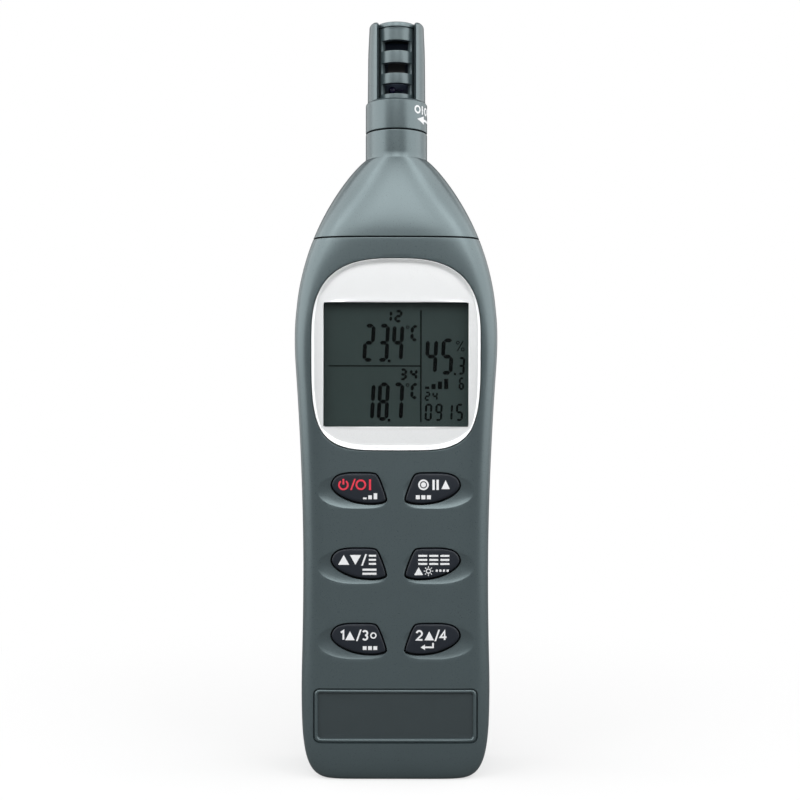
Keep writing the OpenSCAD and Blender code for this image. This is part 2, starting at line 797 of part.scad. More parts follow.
// Sensors: a strip board up the middle of the cage, with its leads to the main board
strip_w = cage_d - 2 * cage_wall - clear;
strip_t = 0.8;
strip_z0 = neck_z + 1;
strip_z1 = window_z + (window_count - 1) * window_pitch + window_h;
sensor_w = 4;
sensor_t = 1.1;
bead_r = 0.9;
bead_x = -1;
module sensor_board() {
    color([0.12, 0.30, 0.40])
        block(-strip_w / 2, strip_w / 2, -strip_t / 2, strip_t / 2, strip_z0, strip_z1);
}
module humidity_sensor() {
    z = window_z + window_pitch;
    color([0.92, 0.92, 0.90])
        block(-sensor_w / 2, sensor_w / 2, -strip_t / 2 - sensor_t, -strip_t / 2,
            z - 1, z + window_h + 1);
}
module temperature_sensor() {
    z = window_z + window_h / 2;
    color([0.10, 0.12, 0.30]) translate([bead_x, -strip_t / 2 - bead_r, z]) {
        sphere(r = bead_r);
        rotate([0, 90, 0]) cylinder(r = 0.2, h = 3 * bead_r);
    }
}
lead_d = 0.8;
lead_count = 4;
lead_pitch = 1.2;
connector_h = 4;
connector_z = board_top_z - connector_h - 2;
lead_y = -strip_t / 2 - lead_d / 2;
module sensor_leads() {
    color([0.75, 0.20, 0.15])
        for (i = [0:lead_count - 1]) translate([(i - (lead_count - 1) / 2) * lead_pitch, 0, 0]) {
            translate([0, lead_y, connector_z + connector_h])
                cylinder(d = lead_d, h = strip_z0 + 2 - connector_z - connector_h);
        }
}
module lead_connector() {
    w = lead_count * lead_pitch + 2;
    color([0.92, 0.92, 0.88])
        block(-w / 2, w / 2, board_y1, lead_y + lead_d, connector_z, connector_z + connector_h);
}

front_cover();
rear_cover();
battery_door();
nose_cone();
sensor_cage();
sensor_guard();
display_bezel();
display_lens();
lcd_glass();
lcd_holder();
lcd_diffuser();
contact_strip();
main_board();
main_chip();
quartz_crystal();
capacitors();
resistors();
keypad_mat();
key_cap(2, -1);  // key_upper_left
key_cap(2, 1);  // key_upper_right
key_cap(1, -1);  // key_middle_left
key_cap(1, 1);  // key_middle_right
key_cap(0, -1);  // key_lower_left
key_cap(0, 1);  // key_lower_right
key_domes();
board_screws();
housing_screws();
battery_springs();
battery_contacts();
battery(0);  // battery_left
battery(1);  // battery_middle
battery(2);  // battery_right
sensor_board();
humidity_sensor();
temperature_sensor();
sensor_leads();
lead_connector();
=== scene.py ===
# %% [markdown]
# # A digital psychrometer, dressed in Blender
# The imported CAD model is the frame. Every piece made here sits where the CAD says, so the first
# step loads that frame and keeps its box to compare sizes at the end.

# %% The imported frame
import math
from functools import lru_cache

import bmesh
import bpy
from mathutils import Matrix, Vector


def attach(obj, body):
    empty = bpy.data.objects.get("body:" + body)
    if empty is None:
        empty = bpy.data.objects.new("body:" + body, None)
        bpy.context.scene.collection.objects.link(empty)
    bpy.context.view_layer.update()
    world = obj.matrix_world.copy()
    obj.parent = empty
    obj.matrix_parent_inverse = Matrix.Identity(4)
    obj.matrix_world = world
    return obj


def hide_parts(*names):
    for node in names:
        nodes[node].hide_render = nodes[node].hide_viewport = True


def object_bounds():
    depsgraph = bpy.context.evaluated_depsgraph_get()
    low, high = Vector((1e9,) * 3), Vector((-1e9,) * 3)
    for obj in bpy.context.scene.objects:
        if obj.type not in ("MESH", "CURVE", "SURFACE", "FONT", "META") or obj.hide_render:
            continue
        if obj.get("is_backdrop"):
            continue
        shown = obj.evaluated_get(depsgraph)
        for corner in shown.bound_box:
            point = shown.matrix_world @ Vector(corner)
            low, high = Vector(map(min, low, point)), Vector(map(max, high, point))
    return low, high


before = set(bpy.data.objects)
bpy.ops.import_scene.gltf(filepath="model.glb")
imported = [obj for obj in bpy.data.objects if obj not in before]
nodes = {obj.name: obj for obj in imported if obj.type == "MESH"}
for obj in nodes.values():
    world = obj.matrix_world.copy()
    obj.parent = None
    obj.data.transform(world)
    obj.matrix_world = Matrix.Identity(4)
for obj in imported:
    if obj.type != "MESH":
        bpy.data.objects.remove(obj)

cad_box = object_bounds()
print("CAD nodes:", len(nodes))

# %% [markdown]
# ## The camera
# The photograph looks straight at the display from about 300 mm, close enough that the collar's
# seam curves. A lens of about 55 mm at the same place gives the same curves. The camera stands
# level, and is rolled by less than a tenth of a degree, as the picture is.

# %% Camera
CAMERA_PLACE, CAMERA_ROLL = (0.00096, -0.3, 0.0897), -0.0015
camera_data = bpy.data.cameras.new("camera")
camera_data.lens = 55.5
camera_data.sensor_width = 36
camera = bpy.data.objects.new("camera", camera_data)
camera.location = CAMERA_PLACE
camera.rotation_euler = (math.pi / 2, CAMERA_ROLL, 0)
bpy.context.scene.collection.objects.link(camera)
bpy.context.scene.camera = camera
bpy.context.scene.view_settings.view_transform = "Standard"
print("camera distance:", -camera.location.y)

# %% [markdown]
# ## The housing's section
# The two covers and the nose share one skin. At each height it is a squared ellipse, with a half
# width, a depth in front, a depth behind and a power that says how square it is. Working in
# millimetres keeps the numbers readable, and each piece is scaled to metres when it is done.

# %% Half width, depths and squareness at a height
FOOT_Z, WAIST_Z, SHOULDER_Z, SEAM_Z, NECK_Z = 22, 50, 103, 128.0, 147.6
FOOT_W, WAIST_W, NECK_R = 15, 22.05, 7.45


def share(z, low, high):
    return (z - low) / (high - low)


def ease(u):
    return math.cos(math.pi / 2 * max(0.0, min(1.0, u))) ** 2


def foot_curve(z):
    """From 0 at the very bottom to 1 at the top of the rounded foot."""
    return max(0.0, 1 - ((FOOT_Z - z) / FOOT_Z) ** 4) ** 0.34


def plain_width(z):
    if z < FOOT_Z:
        return FOOT_W + 7.51 * foot_curve(z) - 0.25 * min(1.0, share(z, FOOT_Z, 8))
    if z < WAIST_Z:
        return WAIST_W + 0.46 * share(z, WAIST_Z, FOOT_Z) ** 2
    if z < SHOULDER_Z:
        return WAIST_W + 2.29 * share(z, WAIST_Z, SHOULDER_Z) ** 1.8
    return NECK_R + 16.89 * max(0.0, 1 - share(z, SHOULDER_Z, NECK_Z) ** 2.13) ** 0.842


@lru_cache(None)
def half_width(z):
    """The plain width, averaged over a few millimetres so that its parts meet smoothly."""
    reach = max(0.0, min(5.0, 0.8 * (z - 12), 0.8 * (118 - z)))
    return sum(plain_width(z + reach * k) for k in (-1, -0.6, -0.2, 0.2, 0.6, 1)) / 6


def front_depth(z):
    if z < FOOT_Z:
        return 7.6 + 2.7 * foot_curve(z)
    if z < SEAM_Z:
        return 10.3 - 0.25 * max(0.0, share(z, 110, SEAM_Z)) ** 2
    u = min(1.0, share(z, SEAM_Z, NECK_Z))
    return 10.05 - 0.75 * u - 0.05 * u ** 2 - 0.87 * (1 - math.cos(math.pi * u))


def rear_depth(z):
    if z < FOOT_Z:
        return 9.6 + 3.8 * foot_curve(z)
    return NECK_R + 5.95 * ease(share(z, 95, NECK_Z))


def squareness(z):
    """The power of the squared ellipse, from 8 along the grip to 2, a circle, at the neck."""
    return 2 + 4.0 * ease(share(z, 110, NECK_Z)) + 2.0 * ease(share(z, 95, 120))


print("half width at the shoulder:", half_width(SHOULDER_Z))

# %% A point of the skin, by turn or by place on the face


def signed_power(value, power):
    return math.copysign(abs(value) ** power, value) if abs(value) > 1e-9 else 0.0


def skin_point(z, inset, turn):
    a, p = math.radians(turn), 2 / squareness(z)
    deep = front_depth(z) if math.sin(a) < 0 else rear_depth(z)
    return Vector(((half_width(z) - inset) * signed_power(math.cos(a), p),
                   (deep - inset) * signed_power(math.sin(a), p), z))


def face_depth(x, z, deep, inset=0.0):
    """How far the skin lies from the head axis plane, above the point x, z."""
    p = squareness(z)
    across = min(1.0, abs(x) / (half_width(z) - inset))
    return (deep(z) - inset) * (1 - across ** p) ** (1 / p)


print("face at the middle of the display:", -face_depth(0, 98, front_depth))

# %% [markdown]
# ## Evenly spaced points
# A squared ellipse drawn by equal turns bunches its points in the corners. Walking along the
# line in equal steps gives even quads, which take a cut and a soft highlight better.

# %% Even steps along a line


def evenly(points, count, closed=False):
    line = list(points) + ([points[0]] if closed else [])
    run = [0.0]
    for a, b in zip(line, line[1:]):
        run.append(run[-1] + (b - a).length)
    found, k = [], 0
    for i in range(count + (0 if closed else 1)):
        want = run[-1] * i / count
        while k < len(line) - 2 and run[k + 1] < want:
            k += 1
        step = run[k + 1] - run[k]
        found.append(line[k].lerp(line[k + 1], (want - run[k]) / step if step else 0))
    return found


def skin_ring(z, inset, low, high, count):
    turns = [low + (high - low) * i / 480 for i in range(481)]
    return evenly([skin_point(z, inset, t) for t in turns], count)


print("points in half a ring:", len(skin_ring(60, 0, 180, 360, 120)))

# %% [markdown]
# ## Laying a grid over rows of points
# A skin could be drawn face by face. It is easier to let Blender make one flat grid and lay it
# over rows of points, as paper is laid over the ribs of a lantern. Where rows meet, their doubles
# are merged, and the normals are worked out again so that they face outwards.

# %% Wrapping a grid


def wrapped(rows, ring=True):
    cols = len(rows[0]) - (0 if ring else 1)
    bm = bmesh.new()
    bmesh.ops.create_grid(bm, x_segments=cols, y_segments=len(rows) - 1, size=1)
    for v in bm.verts:
        i = round((v.co.x + 1) / 2 * cols) % len(rows[0])
        j = round((v.co.y + 1) / 2 * (len(rows) - 1))
        v.co = rows[j][i]
    return cleaned(bm)


def cleaned(bm, gap=1e-5):
    bmesh.ops.remove_doubles(bm, verts=bm.verts, dist=gap)
    bmesh.ops.dissolve_degenerate(bm, dist=gap, edges=bm.edges)
    bmesh.ops.recalc_face_normals(bm, faces=bm.faces)
    return bm


def closed_over(bm):
    """Closes what is still open with flat faces."""
    rims = [e for e in bm.edges if e.is_boundary]
    bmesh.ops.holes_fill(bm, edges=rims, sides=0)
    bmesh.ops.recalc_face_normals(bm, faces=bm.faces)
    return bm


def rounded_edges(bm, edges, radius, segments=2):
    bmesh.ops.bevel(bm, geom=edges, offset=radius, offset_type="OFFSET", segments=segments,
                    profile=0.5, affect="EDGES", clamp_overlap=True, material=-1)
    return bm


print("helpers for wrapping are ready")

# %% [markdown]
# ## Joining and carving
# Holes with odd outlines are cut as a workshop cuts them, with a plug of that shape. Blender's
# Boolean modifier does it, and the result is read back, so that no modifier and no plug stays.

# %% Joining and carving


def temporary(bm, name):
    mesh = bpy.data.meshes.new(name)
    bm.to_mesh(mesh)
    bm.free()
    made = bpy.data.objects.new(name, mesh)
    bpy.context.scene.collection.objects.link(made)
    return made


def carved(bm, tools):
    """bm after each (operation, bmesh) of tools, as a new bmesh."""
    body = temporary(bm, "work_body")
    helpers = [temporary(tool, "work_tool") for _, tool in tools]
    for (operation, _), helper in zip(tools, helpers):
        cut = body.modifiers.new("cut", "BOOLEAN")
        cut.operation = operation
        cut.solver = "EXACT"
        cut.object = helper
    bpy.context.view_layer.update()
    result = bmesh.new()
    result.from_object(body, bpy.context.evaluated_depsgraph_get())
    for o in [body, *helpers]:
        mesh = o.data
        bpy.data.objects.remove(o)
        bpy.data.meshes.remove(mesh)
    return cleaned(result, 1e-4)


def joined(*parts):
    """Several bmeshes as one, each a closed shape of its own."""
    whole = bmesh.new()
    for part in parts:
        mesh = bpy.data.meshes.new("part")
        part.to_mesh(mesh)
        part.free()
        whole.from_mesh(mesh)
        bpy.data.meshes.remove(mesh)
    return whole


print("helpers for joining and carving are ready")

# %% Placing a finished piece
MILLIMETRE = 0.001


def placed(bm, name, body, material, replaced=(), sharp=32):
    """Scales a finished shape to metres and puts it on its CAD body."""
    bmesh.ops.scale(bm, vec=(MILLIMETRE,) * 3, verts=bm.verts)
    faces = len(bm.faces)
    mesh = bpy.data.meshes.new(name)
    bm.to_mesh(mesh)
    bm.free()
    mesh.shade_smooth()
    mesh.set_sharp_from_angle(angle=math.radians(sharp))
    made = bpy.data.objects.new(name, mesh)
    bpy.context.scene.collection.objects.link(made)
    made.data.materials.append(material)
    weigh = made.modifiers.new("flat faces stay flat", "WEIGHTED_NORMAL")
    weigh.keep_sharp = True
    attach(made, body)
    if replaced:
        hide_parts(*replaced)
    print(name, "faces:", faces)
    return made


print("finished pieces are scaled by", MILLIMETRE)

# %% [markdown]
# ## Plugs that follow the face
# The front is slightly curved, so a plug with a flat end would cut deeper at the sides. Each plug
# here is a stack of outlines, and every outline lies at an even depth under the face. The last
# ones flare, which leaves a finely rounded edge round the opening, as a moulded part has.

# %% Outlines


def rounded_shape(corners, radius, count=96):
    """A convex outline, its corners given counterclockwise, grown by radius, in even steps."""
    found = []
    for k, (x, z) in enumerate(corners):
        (bx, bz), (nx, nz) = corners[k - 1], corners[(k + 1) % len(corners)]
        first = math.atan2(bx - x, z - bz)
        turn = (math.atan2(x - nx, nz - z) - first) % (2 * math.pi)
        found += [Vector((x + radius * math.cos(first + turn * i / 8),
                          z + radius * math.sin(first + turn * i / 8))) for i in range(9)]
    return evenly(found, count, closed=True)


def rectangle(half_w, half_h, cx, cz):
    return [(cx - half_w, cz - half_h), (cx + half_w, cz - half_h),
            (cx + half_w, cz + half_h), (cx - half_w, cz + half_h)]


def under_face(outline, depth, deep=front_depth, side=-1):
    """The outline, drawn at an even depth under the face."""
    return [Vector((p.x, side * (face_depth(p.x, p.y, deep) - depth), p.y)) for p in outline]


def at_depth(outline, y):
    return [Vector((p.x, y, p.y)) for p in outline]


test = rounded_shape(rectangle(2, 1, 0, 0), 0.5, 40)
print("test outline spans", max(p.x for p in test), max(p.y for p in test))

# %% Plugs with a fine flare


def flared_plug(grown, bottom_y, radius, deep=front_depth, side=-1):
    """A plug from bottom_y out through the face. grown(g) is its outline, grown by g."""
    stack = [at_depth(grown(0), bottom_y)]
    for turn in (0, 35, 70):
        g = radius * (1 - math.cos(math.radians(turn)))
        d = radius * (1 - math.sin(math.radians(turn)))
        stack.append(under_face(grown(g), d, deep, side))
    stack.append(under_face(grown(radius * 0.66 + 1.1), -0.4, deep, side))
    stack.append(under_face(grown(radius * 0.66 + 1.1), -3, deep, side))
    return closed_over(wrapped(stack))


def box(x0, x1, y0, y1, z0, z1):
    bm = bmesh.new()
    bmesh.ops.create_cube(bm, size=1)
    bmesh.ops.scale(bm, vec=(x1 - x0, y1 - y0, z1 - z0), verts=bm.verts)
    bmesh.ops.translate(bm, vec=((x0 + x1) / 2, (y0 + y1) / 2, (z0 + z1) / 2), verts=bm.verts)
    return bm


def post(x, z, diameter, y0, y1, segments=40):
    """A round bar along Y."""
    bm = bmesh.new()
    bmesh.ops.create_cone(bm, cap_ends=True, segments=segments, radius1=diameter / 2,
                          radius2=diameter / 2, depth=abs(y1 - y0))
    bmesh.ops.rotate(bm, cent=(0, 0, 0), matrix=Matrix.Rotation(math.pi / 2, 3, "X"),
                     verts=bm.verts)
    bmesh.ops.translate(bm, vec=(x, (y0 + y1) / 2, z), verts=bm.verts)
    return bm


def mirrored(bm):
    """The same shape on the other side of X = 0."""
    twin = bm.copy()
    bmesh.ops.scale(twin, vec=(-1, 1, 1), verts=twin.verts)
    bmesh.ops.recalc_face_normals(twin, faces=twin.faces)
    return twin


print("plug, box and post are ready")

# %% [markdown]
# ## Moulded plastic
# The housing is satin plastic with a very fine spark-eroded grain. A grain drawn as an image
# would need a map; noise that reads the piece's own coordinates, here in millimetres, gives it
# everywhere. One noise makes the grain and its gloss, a wider one shifts the colour a little.
# The colour sockets of a Mix node share their names with its others, so they go by number.

# %% A material recipe
MIX_A, MIX_B, MIX_RESULT = 6, 7, 2


def tuned(shader_node, **values):
    """Sets the sockets that are named, with _ for a space."""
    for socket, value in values.items():
        shader_node.inputs[socket.replace("_", " ")].default_value = value
    return shader_node


def linked(tree, *joints):
    """Links nodes; a joint is a node, its output, the next node and the input there."""
    for giver, output, taker, socket in joints:
        tree.links.new(giver.outputs[output], taker.inputs[socket])


def finish(name, colour, shade=0.9, rough=0.45, metallic=0.0, grain=6.0, depth=0.012,
           spread=0.25, rough_swing=0.08, stretch=(1, 1, 1), **sockets):
    """Colour drifting to a slightly darker shade, with a fine grain in millimetres."""
    material = bpy.data.materials.new(name)
    material.use_nodes = True
    tree = material.node_tree
    shader = tree.nodes["Principled BSDF"]
    place = tree.nodes.new("ShaderNodeTexCoord")
    scale = tuned(tree.nodes.new("ShaderNodeMapping"), Scale=[1000 * s for s in stretch])
    wide = tuned(tree.nodes.new("ShaderNodeTexNoise"), Scale=spread, Detail=4)
    fine = tuned(tree.nodes.new("ShaderNodeTexNoise"), Scale=grain, Detail=3)
    tint = tree.nodes.new("ShaderNodeMix")
    tint.data_type = "RGBA"
    tint.inputs[MIX_A].default_value = (*colour, 1)
    tint.inputs[MIX_B].default_value = (*[c * shade for c in colour], 1)
    gloss = tuned(tree.nodes.new("ShaderNodeMapRange"), To_Min=rough - rough_swing,
                  To_Max=rough + rough_swing)
    bump = tuned(tree.nodes.new("ShaderNodeBump"), Strength=0.5, Distance=depth / 1000)
    linked(tree, (place, "Object", scale, "Vector"), (scale, "Vector", wide, "Vector"),
           (scale, "Vector", fine, "Vector"), (wide, "Fac", tint, 0),
           (tint, MIX_RESULT, shader, "Base Color"), (fine, "Fac", gloss, "Value"),
           (gloss, "Result", shader, "Roughness"), (fine, "Fac", bump, "Height"),
           (bump, "Normal", shader, "Normal"))
    tuned(shader, Metallic=metallic, **sockets)
    return material


body_grey = (0.040, 0.055, 0.060)
plastic = {slot: finish("plastic_" + slot, body_grey, rough=0.3, depth=0.005, IOR=2.0,
                         Specular_Tint=(0.8, 0.97, 1.0, 1)) for slot in
           ("housing_front", "housing_rear", "battery_door", "nose_cone", "sensor_guard",
            "sensor_cage")}
print("plastics:", sorted(plastic))

# %% [markdown]
# ## Half of the housing
# Each cover is a half shell with a 2 mm wall. Rows of the outer skin run up from the foot, cross
# the rim, and run down again as the inner skin, so one grid makes both. The flat parting face
# then closes it, and its outer edge is bevelled, which draws the seam line between the covers.

# %% A half shell
WALL, SEAM_EDGE = 2.0, 0.18
levels = ([FOOT_Z * (1 - math.cos(math.pi / 2 * i / 22)) for i in range(22)]
          + [FOOT_Z + (SHOULDER_Z - FOOT_Z) * i / 54 for i in range(54)]
          + [SHOULDER_Z + (SEAM_Z - SHOULDER_Z) * i / 20 for i in range(21)])


def on_skin(v):
    """Whether a corner of the shell lies on its outer skin."""
    if v.co.z < 0.01:
        return True
    z = min(v.co.z, SEAM_Z)
    deep = front_depth(z) if v.co.y < 0 else rear_depth(z)
    p = squareness(z)
    return (abs(v.co.x) / half_width(z)) ** p + (abs(v.co.y) / deep) ** p > 0.9


def half_shell(low, high, count=112):
    def floor_rows(ring, parts):
        """Rows from the straight line across the ring's ends out towards the ring."""
        line = evenly([ring[0], ring[-1]], count)
        return [[a.lerp(b, part) for a, b in zip(line, ring)] for part in parts]

    outer = [skin_ring(z, 0, low, high, count) for z in levels]
    inner = []
    for z in levels:
        raised = WALL + z * (SEAM_Z - WALL) / SEAM_Z
        inner.append(skin_ring(raised, WALL, low, high, count))
    rows = floor_rows(outer[0], (0, 0.4, 0.8)) + outer
    rows += inner[::-1] + floor_rows(inner[0], (0.8, 0.4, 0))
    bm = closed_over(wrapped(rows, ring=False))
    seam = [e for e in bm.edges if all(on_skin(v) for v in e.verts)
            and (all(abs(v.co.y) < 1e-4 for v in e.verts)
                 or all(abs(v.co.z - SEAM_Z) < 1e-4 for v in e.verts))
            and len(e.link_faces) == 2 and e.calc_face_angle(0) > 0.6]
    return rounded_edges(bm, seam, SEAM_EDGE)


shell = half_shell(180, 360)
print("front shell faces:", len(shell.faces), "open edges:",
      sum(e.is_boundary for e in shell.edges))

# %% [markdown]
# ## Finger scoops and key holes
# Each key sits in a dished scoop that runs out beside it, blunt at the middle of the housing and
# drawn out at its edge. A ball would leave a round dish, so the plug is a grid laid over rings of
# that egg shape, each ring shallower than the one inside it.

# %% Keys' places and outlines
KEY_TRIM = 0.22
key_rows = {"lower": 33.6, "middle": 51.3, "upper": 69.0}
key_points = [(-15.2, 0.75), (-14.6, -0.6), (-12.95, -1.95), (-10.2, -3.15), (-7.5, -3.66),
              (-4.8, -3.73), (-2.75, -3.3), (-2.17, -2.5), (-3.1, 0.45), (-4.2, 2.9),
              (-5.4, 3.58), (-8.4, 3.68), (-11.3, 3.62), (-13.4, 3.15), (-14.65, 2.2)]


def through(points, steps=10):
    """A closed smooth curve through the points."""
    found, n = [], len(points)
    for i in range(n):
        a, b, c, d = (Vector(points[(i + k) % n]) for k in (-1, 0, 1, 2))
        for t in (k / steps for k in range(steps)):
            found.append(0.5 * (2 * b + (c - a) * t + (2 * a - 5 * b + 4 * c - d) * t ** 2
                                + (3 * b - 3 * c + d - a) * t ** 3))
    return found


def key_outline(row, grow=0.0, count=96):
    """The left key's outline in the front view, grown along its normals."""
    edge = evenly(through(key_points), count, closed=True)
    moved = []
    for k, q in enumerate(edge):
        run = (edge[(k + 1) % count] - edge[k - 1]).normalized()
        out = grow - KEY_TRIM
        moved.append(Vector((q.x + run.y * out, q.y + row - run.x * out)))
    return moved


print("key outline spans", max(p.x for p in key_outline(0)) - min(p.x for p in key_outline(0)))

# %% The plug of a scoop
SCOOP_X, SCOOP_DROP = -9.7, 0.7
SCOOP_LEFT, SCOOP_RIGHT, SCOOP_TALL = 8.75, 8.0, 4.15


def egg(row, size, count=96):
    """The outline of a scoop, at one distance inside its rim all round."""
    inset = SCOOP_TALL * (1 - size)
    found = []
    for i in range(count):
        t = 2 * math.pi * i / count
        right = math.cos(t) > 0
        wide = (SCOOP_RIGHT if right else SCOOP_LEFT) - inset
        p = 2 / (4.0 if right and math.sin(t) < 0 else 2.05)
        found.append(Vector((SCOOP_X + wide * signed_power(math.cos(t), p), row - SCOOP_DROP
                             + (SCOOP_TALL - inset) * signed_power(math.sin(t), p))))
    return found


def scoop(row, depth=0.66):
    stack = [under_face(egg(row, size), depth * (1 - size ** 2.3))
             for size in (0.02, 0.2, 0.4, 0.55, 0.7, 0.8, 0.88, 0.94, 0.98, 1.0, 1.03, 1.07)]
    stack.append(at_depth(egg(row, 1.08), -12.0))
    return closed_over(wrapped(stack))


print("scoop plug faces:", len(scoop(key_rows["middle"]).faces))

# %% The label recess, with its groove and bead
LABEL_W, LABEL_H, LABEL_R, LABEL_Z, LABEL_DEEP = 19.4, 6.5, 1.5, 15.4, 0.55


def recess_plug():
    def outline(inset):
        corners = rectangle(LABEL_W - LABEL_R, LABEL_H - LABEL_R, 0, LABEL_Z)
        return rounded_shape(corners, LABEL_R - inset, 160)

    profile = [(-1.2, -0.5), (-0.03, 0.0), (0.05, 0.35), (0.11, 0.6), (0.2, 0.6), (0.26, 0.42),
               (0.33, 0.24), (0.43, 0.1), (0.56, 0.02), (0.7, 0.0), (0.84, 0.02), (0.97, 0.1),
               (1.07, 0.24), (1.14, 0.42), (1.2, LABEL_DEEP), (1.35, LABEL_DEEP)]
    stack = [under_face(outline(-1.2), -3)]
    stack += [under_face(outline(inset), depth) for inset, depth in profile]
    for part in (0.7, 0.4, 0.12):
        inner = [Vector((p.x * part, LABEL_Z + (p.y - LABEL_Z) * (0.4 + 0.6 * part)))
                 for p in outline(1.35)]
        stack.append(under_face(inner, LABEL_DEEP))
    return closed_over(wrapped(stack))


print("recess plug faces:", len(recess_plug().faces))

# %% The bezel's outline and the display window
BEZEL_Z, BEZEL_W, BEZEL_UP, BEZEL_DOWN = 104, 19.9, 19.0, 26.15


def bezel_outline(grow=0.0, steps=240):
    found = []
    for i in range(steps):
        a = 2 * math.pi * i / steps
        up = math.sin(a) >= 0
        p = 2 / (2.78 if up else 4.3)
        tall = (BEZEL_UP if up else BEZEL_DOWN) + grow
        found.append(Vector(((BEZEL_W + grow) * signed_power(math.cos(a), p),
                             BEZEL_Z + tall * signed_power(math.sin(a), p))))
    return evenly(found, 200, closed=True)


WINDOW_W, WINDOW_H, WINDOW_Z = 17.05, 14.6, 98.05
print("bezel height:", max(p.y for p in bezel_outline()) - min(p.y for p in bezel_outline()))

# %% The front cover
SEAT_Y, SEAT_GAP, KEY_GAP, HOLE_DROP = -9.0, 0.22, 0.4, 0.1
screw_spots = [(x, z) for x in (-15, 15) for z in (7.6, 119.2)]
post_spots = [(x, z) for x in (-15.5, 15.5) for z in (16.0, 77.6)]


def front_cover():
    scoops = joined(*[m for z in key_rows.values() for m in (scoop(z), mirrored(scoop(z)))])
    holes = [flared_plug(lambda g, z=z: key_outline(z - HOLE_DROP, KEY_GAP + g), -1, 0.1)
             for z in key_rows.values()]
    holes = joined(*holes, *[mirrored(hole) for hole in holes])
    seat = flared_plug(lambda g: bezel_outline(SEAT_GAP + g), SEAT_Y, 0.14)
    display_wall = box(-19.25, 19.25, SEAT_Y, -8.0, 81.2, 114.8)
    mat_bed = box(-17.15, 17.15, -9.2, -7.6, 27.5, 75.1)
    inside = joined(display_wall, mat_bed,
                    *[post(x, z, 4.8, -6.5, -0.1) for x, z in screw_spots],
                    *[post(x, z, 4.0, -8.5, -4.6) for x, z in post_spots])
    window = box(-17.95, 17.95, -10.5, -7.5, 82.5, 113.5)
    pocket = box(-18.95, 18.95, -8.01, -0.5, 80.6, 114.6)
    bores = joined(*[post(x, z, 2.0, -5.4, 1) for x, z in screw_spots],
                   *[post(x, z, 1.7, -7.5, 1) for x, z in post_spots])
    return carved(shell, [("UNION", inside), ("DIFFERENCE", seat), ("DIFFERENCE", window),
                          ("DIFFERENCE", pocket), ("DIFFERENCE", scoops), ("DIFFERENCE", holes),
                          ("DIFFERENCE", recess_plug()), ("DIFFERENCE", bores)])


cover = placed(front_cover(), "cover_front", "housing",
               plastic["housing_front"], ["front_cover"])
smooth_plastic = finish("plastic_label", [0.8 * c for c in body_grey], rough=0.4, grain=12,
                        depth=0.004)
cover.data.materials.append(smooth_plastic)
for face in cover.data.polygons:
    x, y, z = (1000 * c for c in face.center)
    if abs(x) < 18.2 and abs(z - LABEL_Z) < 5.3 and -10 < y < -9.3 and face.normal.y < -0.9:
        face.material_index = 1

# %% [markdown]
# ## The rear cover and its battery bay
# The back is the same half shell. Inside it a tray holds three cells, and a door opening shows
# them. The opening's plug follows the curved back, so its edge is even all the way round. The
# tray's walls overlap by a few hundredths, because a Boolean dislikes faces in one plane.

# %% The rear cover
DOOR = {"half_w": 18.0, "low": 14.0, "high": 62.6}
BAY_X, BAY_LOW, BAY_HIGH = 17.85, 12.2, 62.7


def door_outline(grow, count=200):
    high, low = DOOR["high"], DOOR["low"]
    return rounded_shape(rectangle(DOOR["half_w"] - 0.6, (high - low) / 2 - 0.6, 0,
                                   (high + low) / 2), 0.6 + grow, count)


def rear_cover():
    ends = [box(-18.7, 18.7, -0.5, 11.7, z, z + 0.9) for z in (BAY_LOW - 0.88, BAY_HIGH)]
    sides = [box(x, x + 0.86, -0.55, 10.8, BAY_LOW - 0.8, BAY_HIGH + 0.8)
             for x in (-18.72, BAY_X)]
    bay = carved(box(-18.75, 18.75, -0.6, 0.3, BAY_LOW - 0.9, BAY_HIGH + 0.92),
                 [("UNION", wall) for wall in ends + sides])
    bosses = joined(*[post(x, z, 5.8, 0.1, rear_depth(z) - 1.4) for x, z in screw_spots])
    door = flared_plug(door_outline, 6.7, 0.14, rear_depth, 1)
    wells = joined(*[flared_plug(
        lambda g, x=x, z=z: [Vector((x + (2.1 + g) * math.cos(t / 24 * math.pi),
                                     z + (2.1 + g) * math.sin(t / 24 * math.pi)))
                             for t in range(48)], 4.6, 0.12, rear_depth, 1)
        for x, z in screw_spots])
    bores = joined(*[post(x, z, 2.1, -1, 5) for x, z in screw_spots])
    slots = joined(*[box(x - 2.3, x + 2.3, 10.1, 11.5, 12.4, 15) for x in (-9, 9)])
    return carved(half_shell(0, 180), [("UNION", bay), ("UNION", bosses), ("DIFFERENCE", door),
                                       ("DIFFERENCE", slots), ("DIFFERENCE", wells),
                                       ("DIFFERENCE", bores)])


placed(rear_cover(), "cover_rear", "housing", plastic["housing_rear"],
       ["rear_cover"])

# %% [markdown]
# ## The battery door
# The door is the piece of the back that the opening leaves out. A grid over its outline is set to
# the height of the back, with four grip grooves pressed in near the top, and extruded inwards.

# %% The battery door
GRIPS = [DOOR["high"] - 6 - 2.4 * i for i in range(4)]
GRIP_HALF, GRIP_R, GRIP_LIFT, DOOR_GAP = 6.6, 1.2, 0.7, 0.25


def grip_depth(x, z):
    ends = min(1.0, max(0.0, (GRIP_HALF - abs(x)) / GRIP_R))
    near = min(abs(z - g) for g in GRIPS)
    dip = max(0.0, math.sqrt(max(0.0, GRIP_R ** 2 - near ** 2)) - GRIP_LIFT)
    return dip * ends * ends * (3 - 2 * ends)


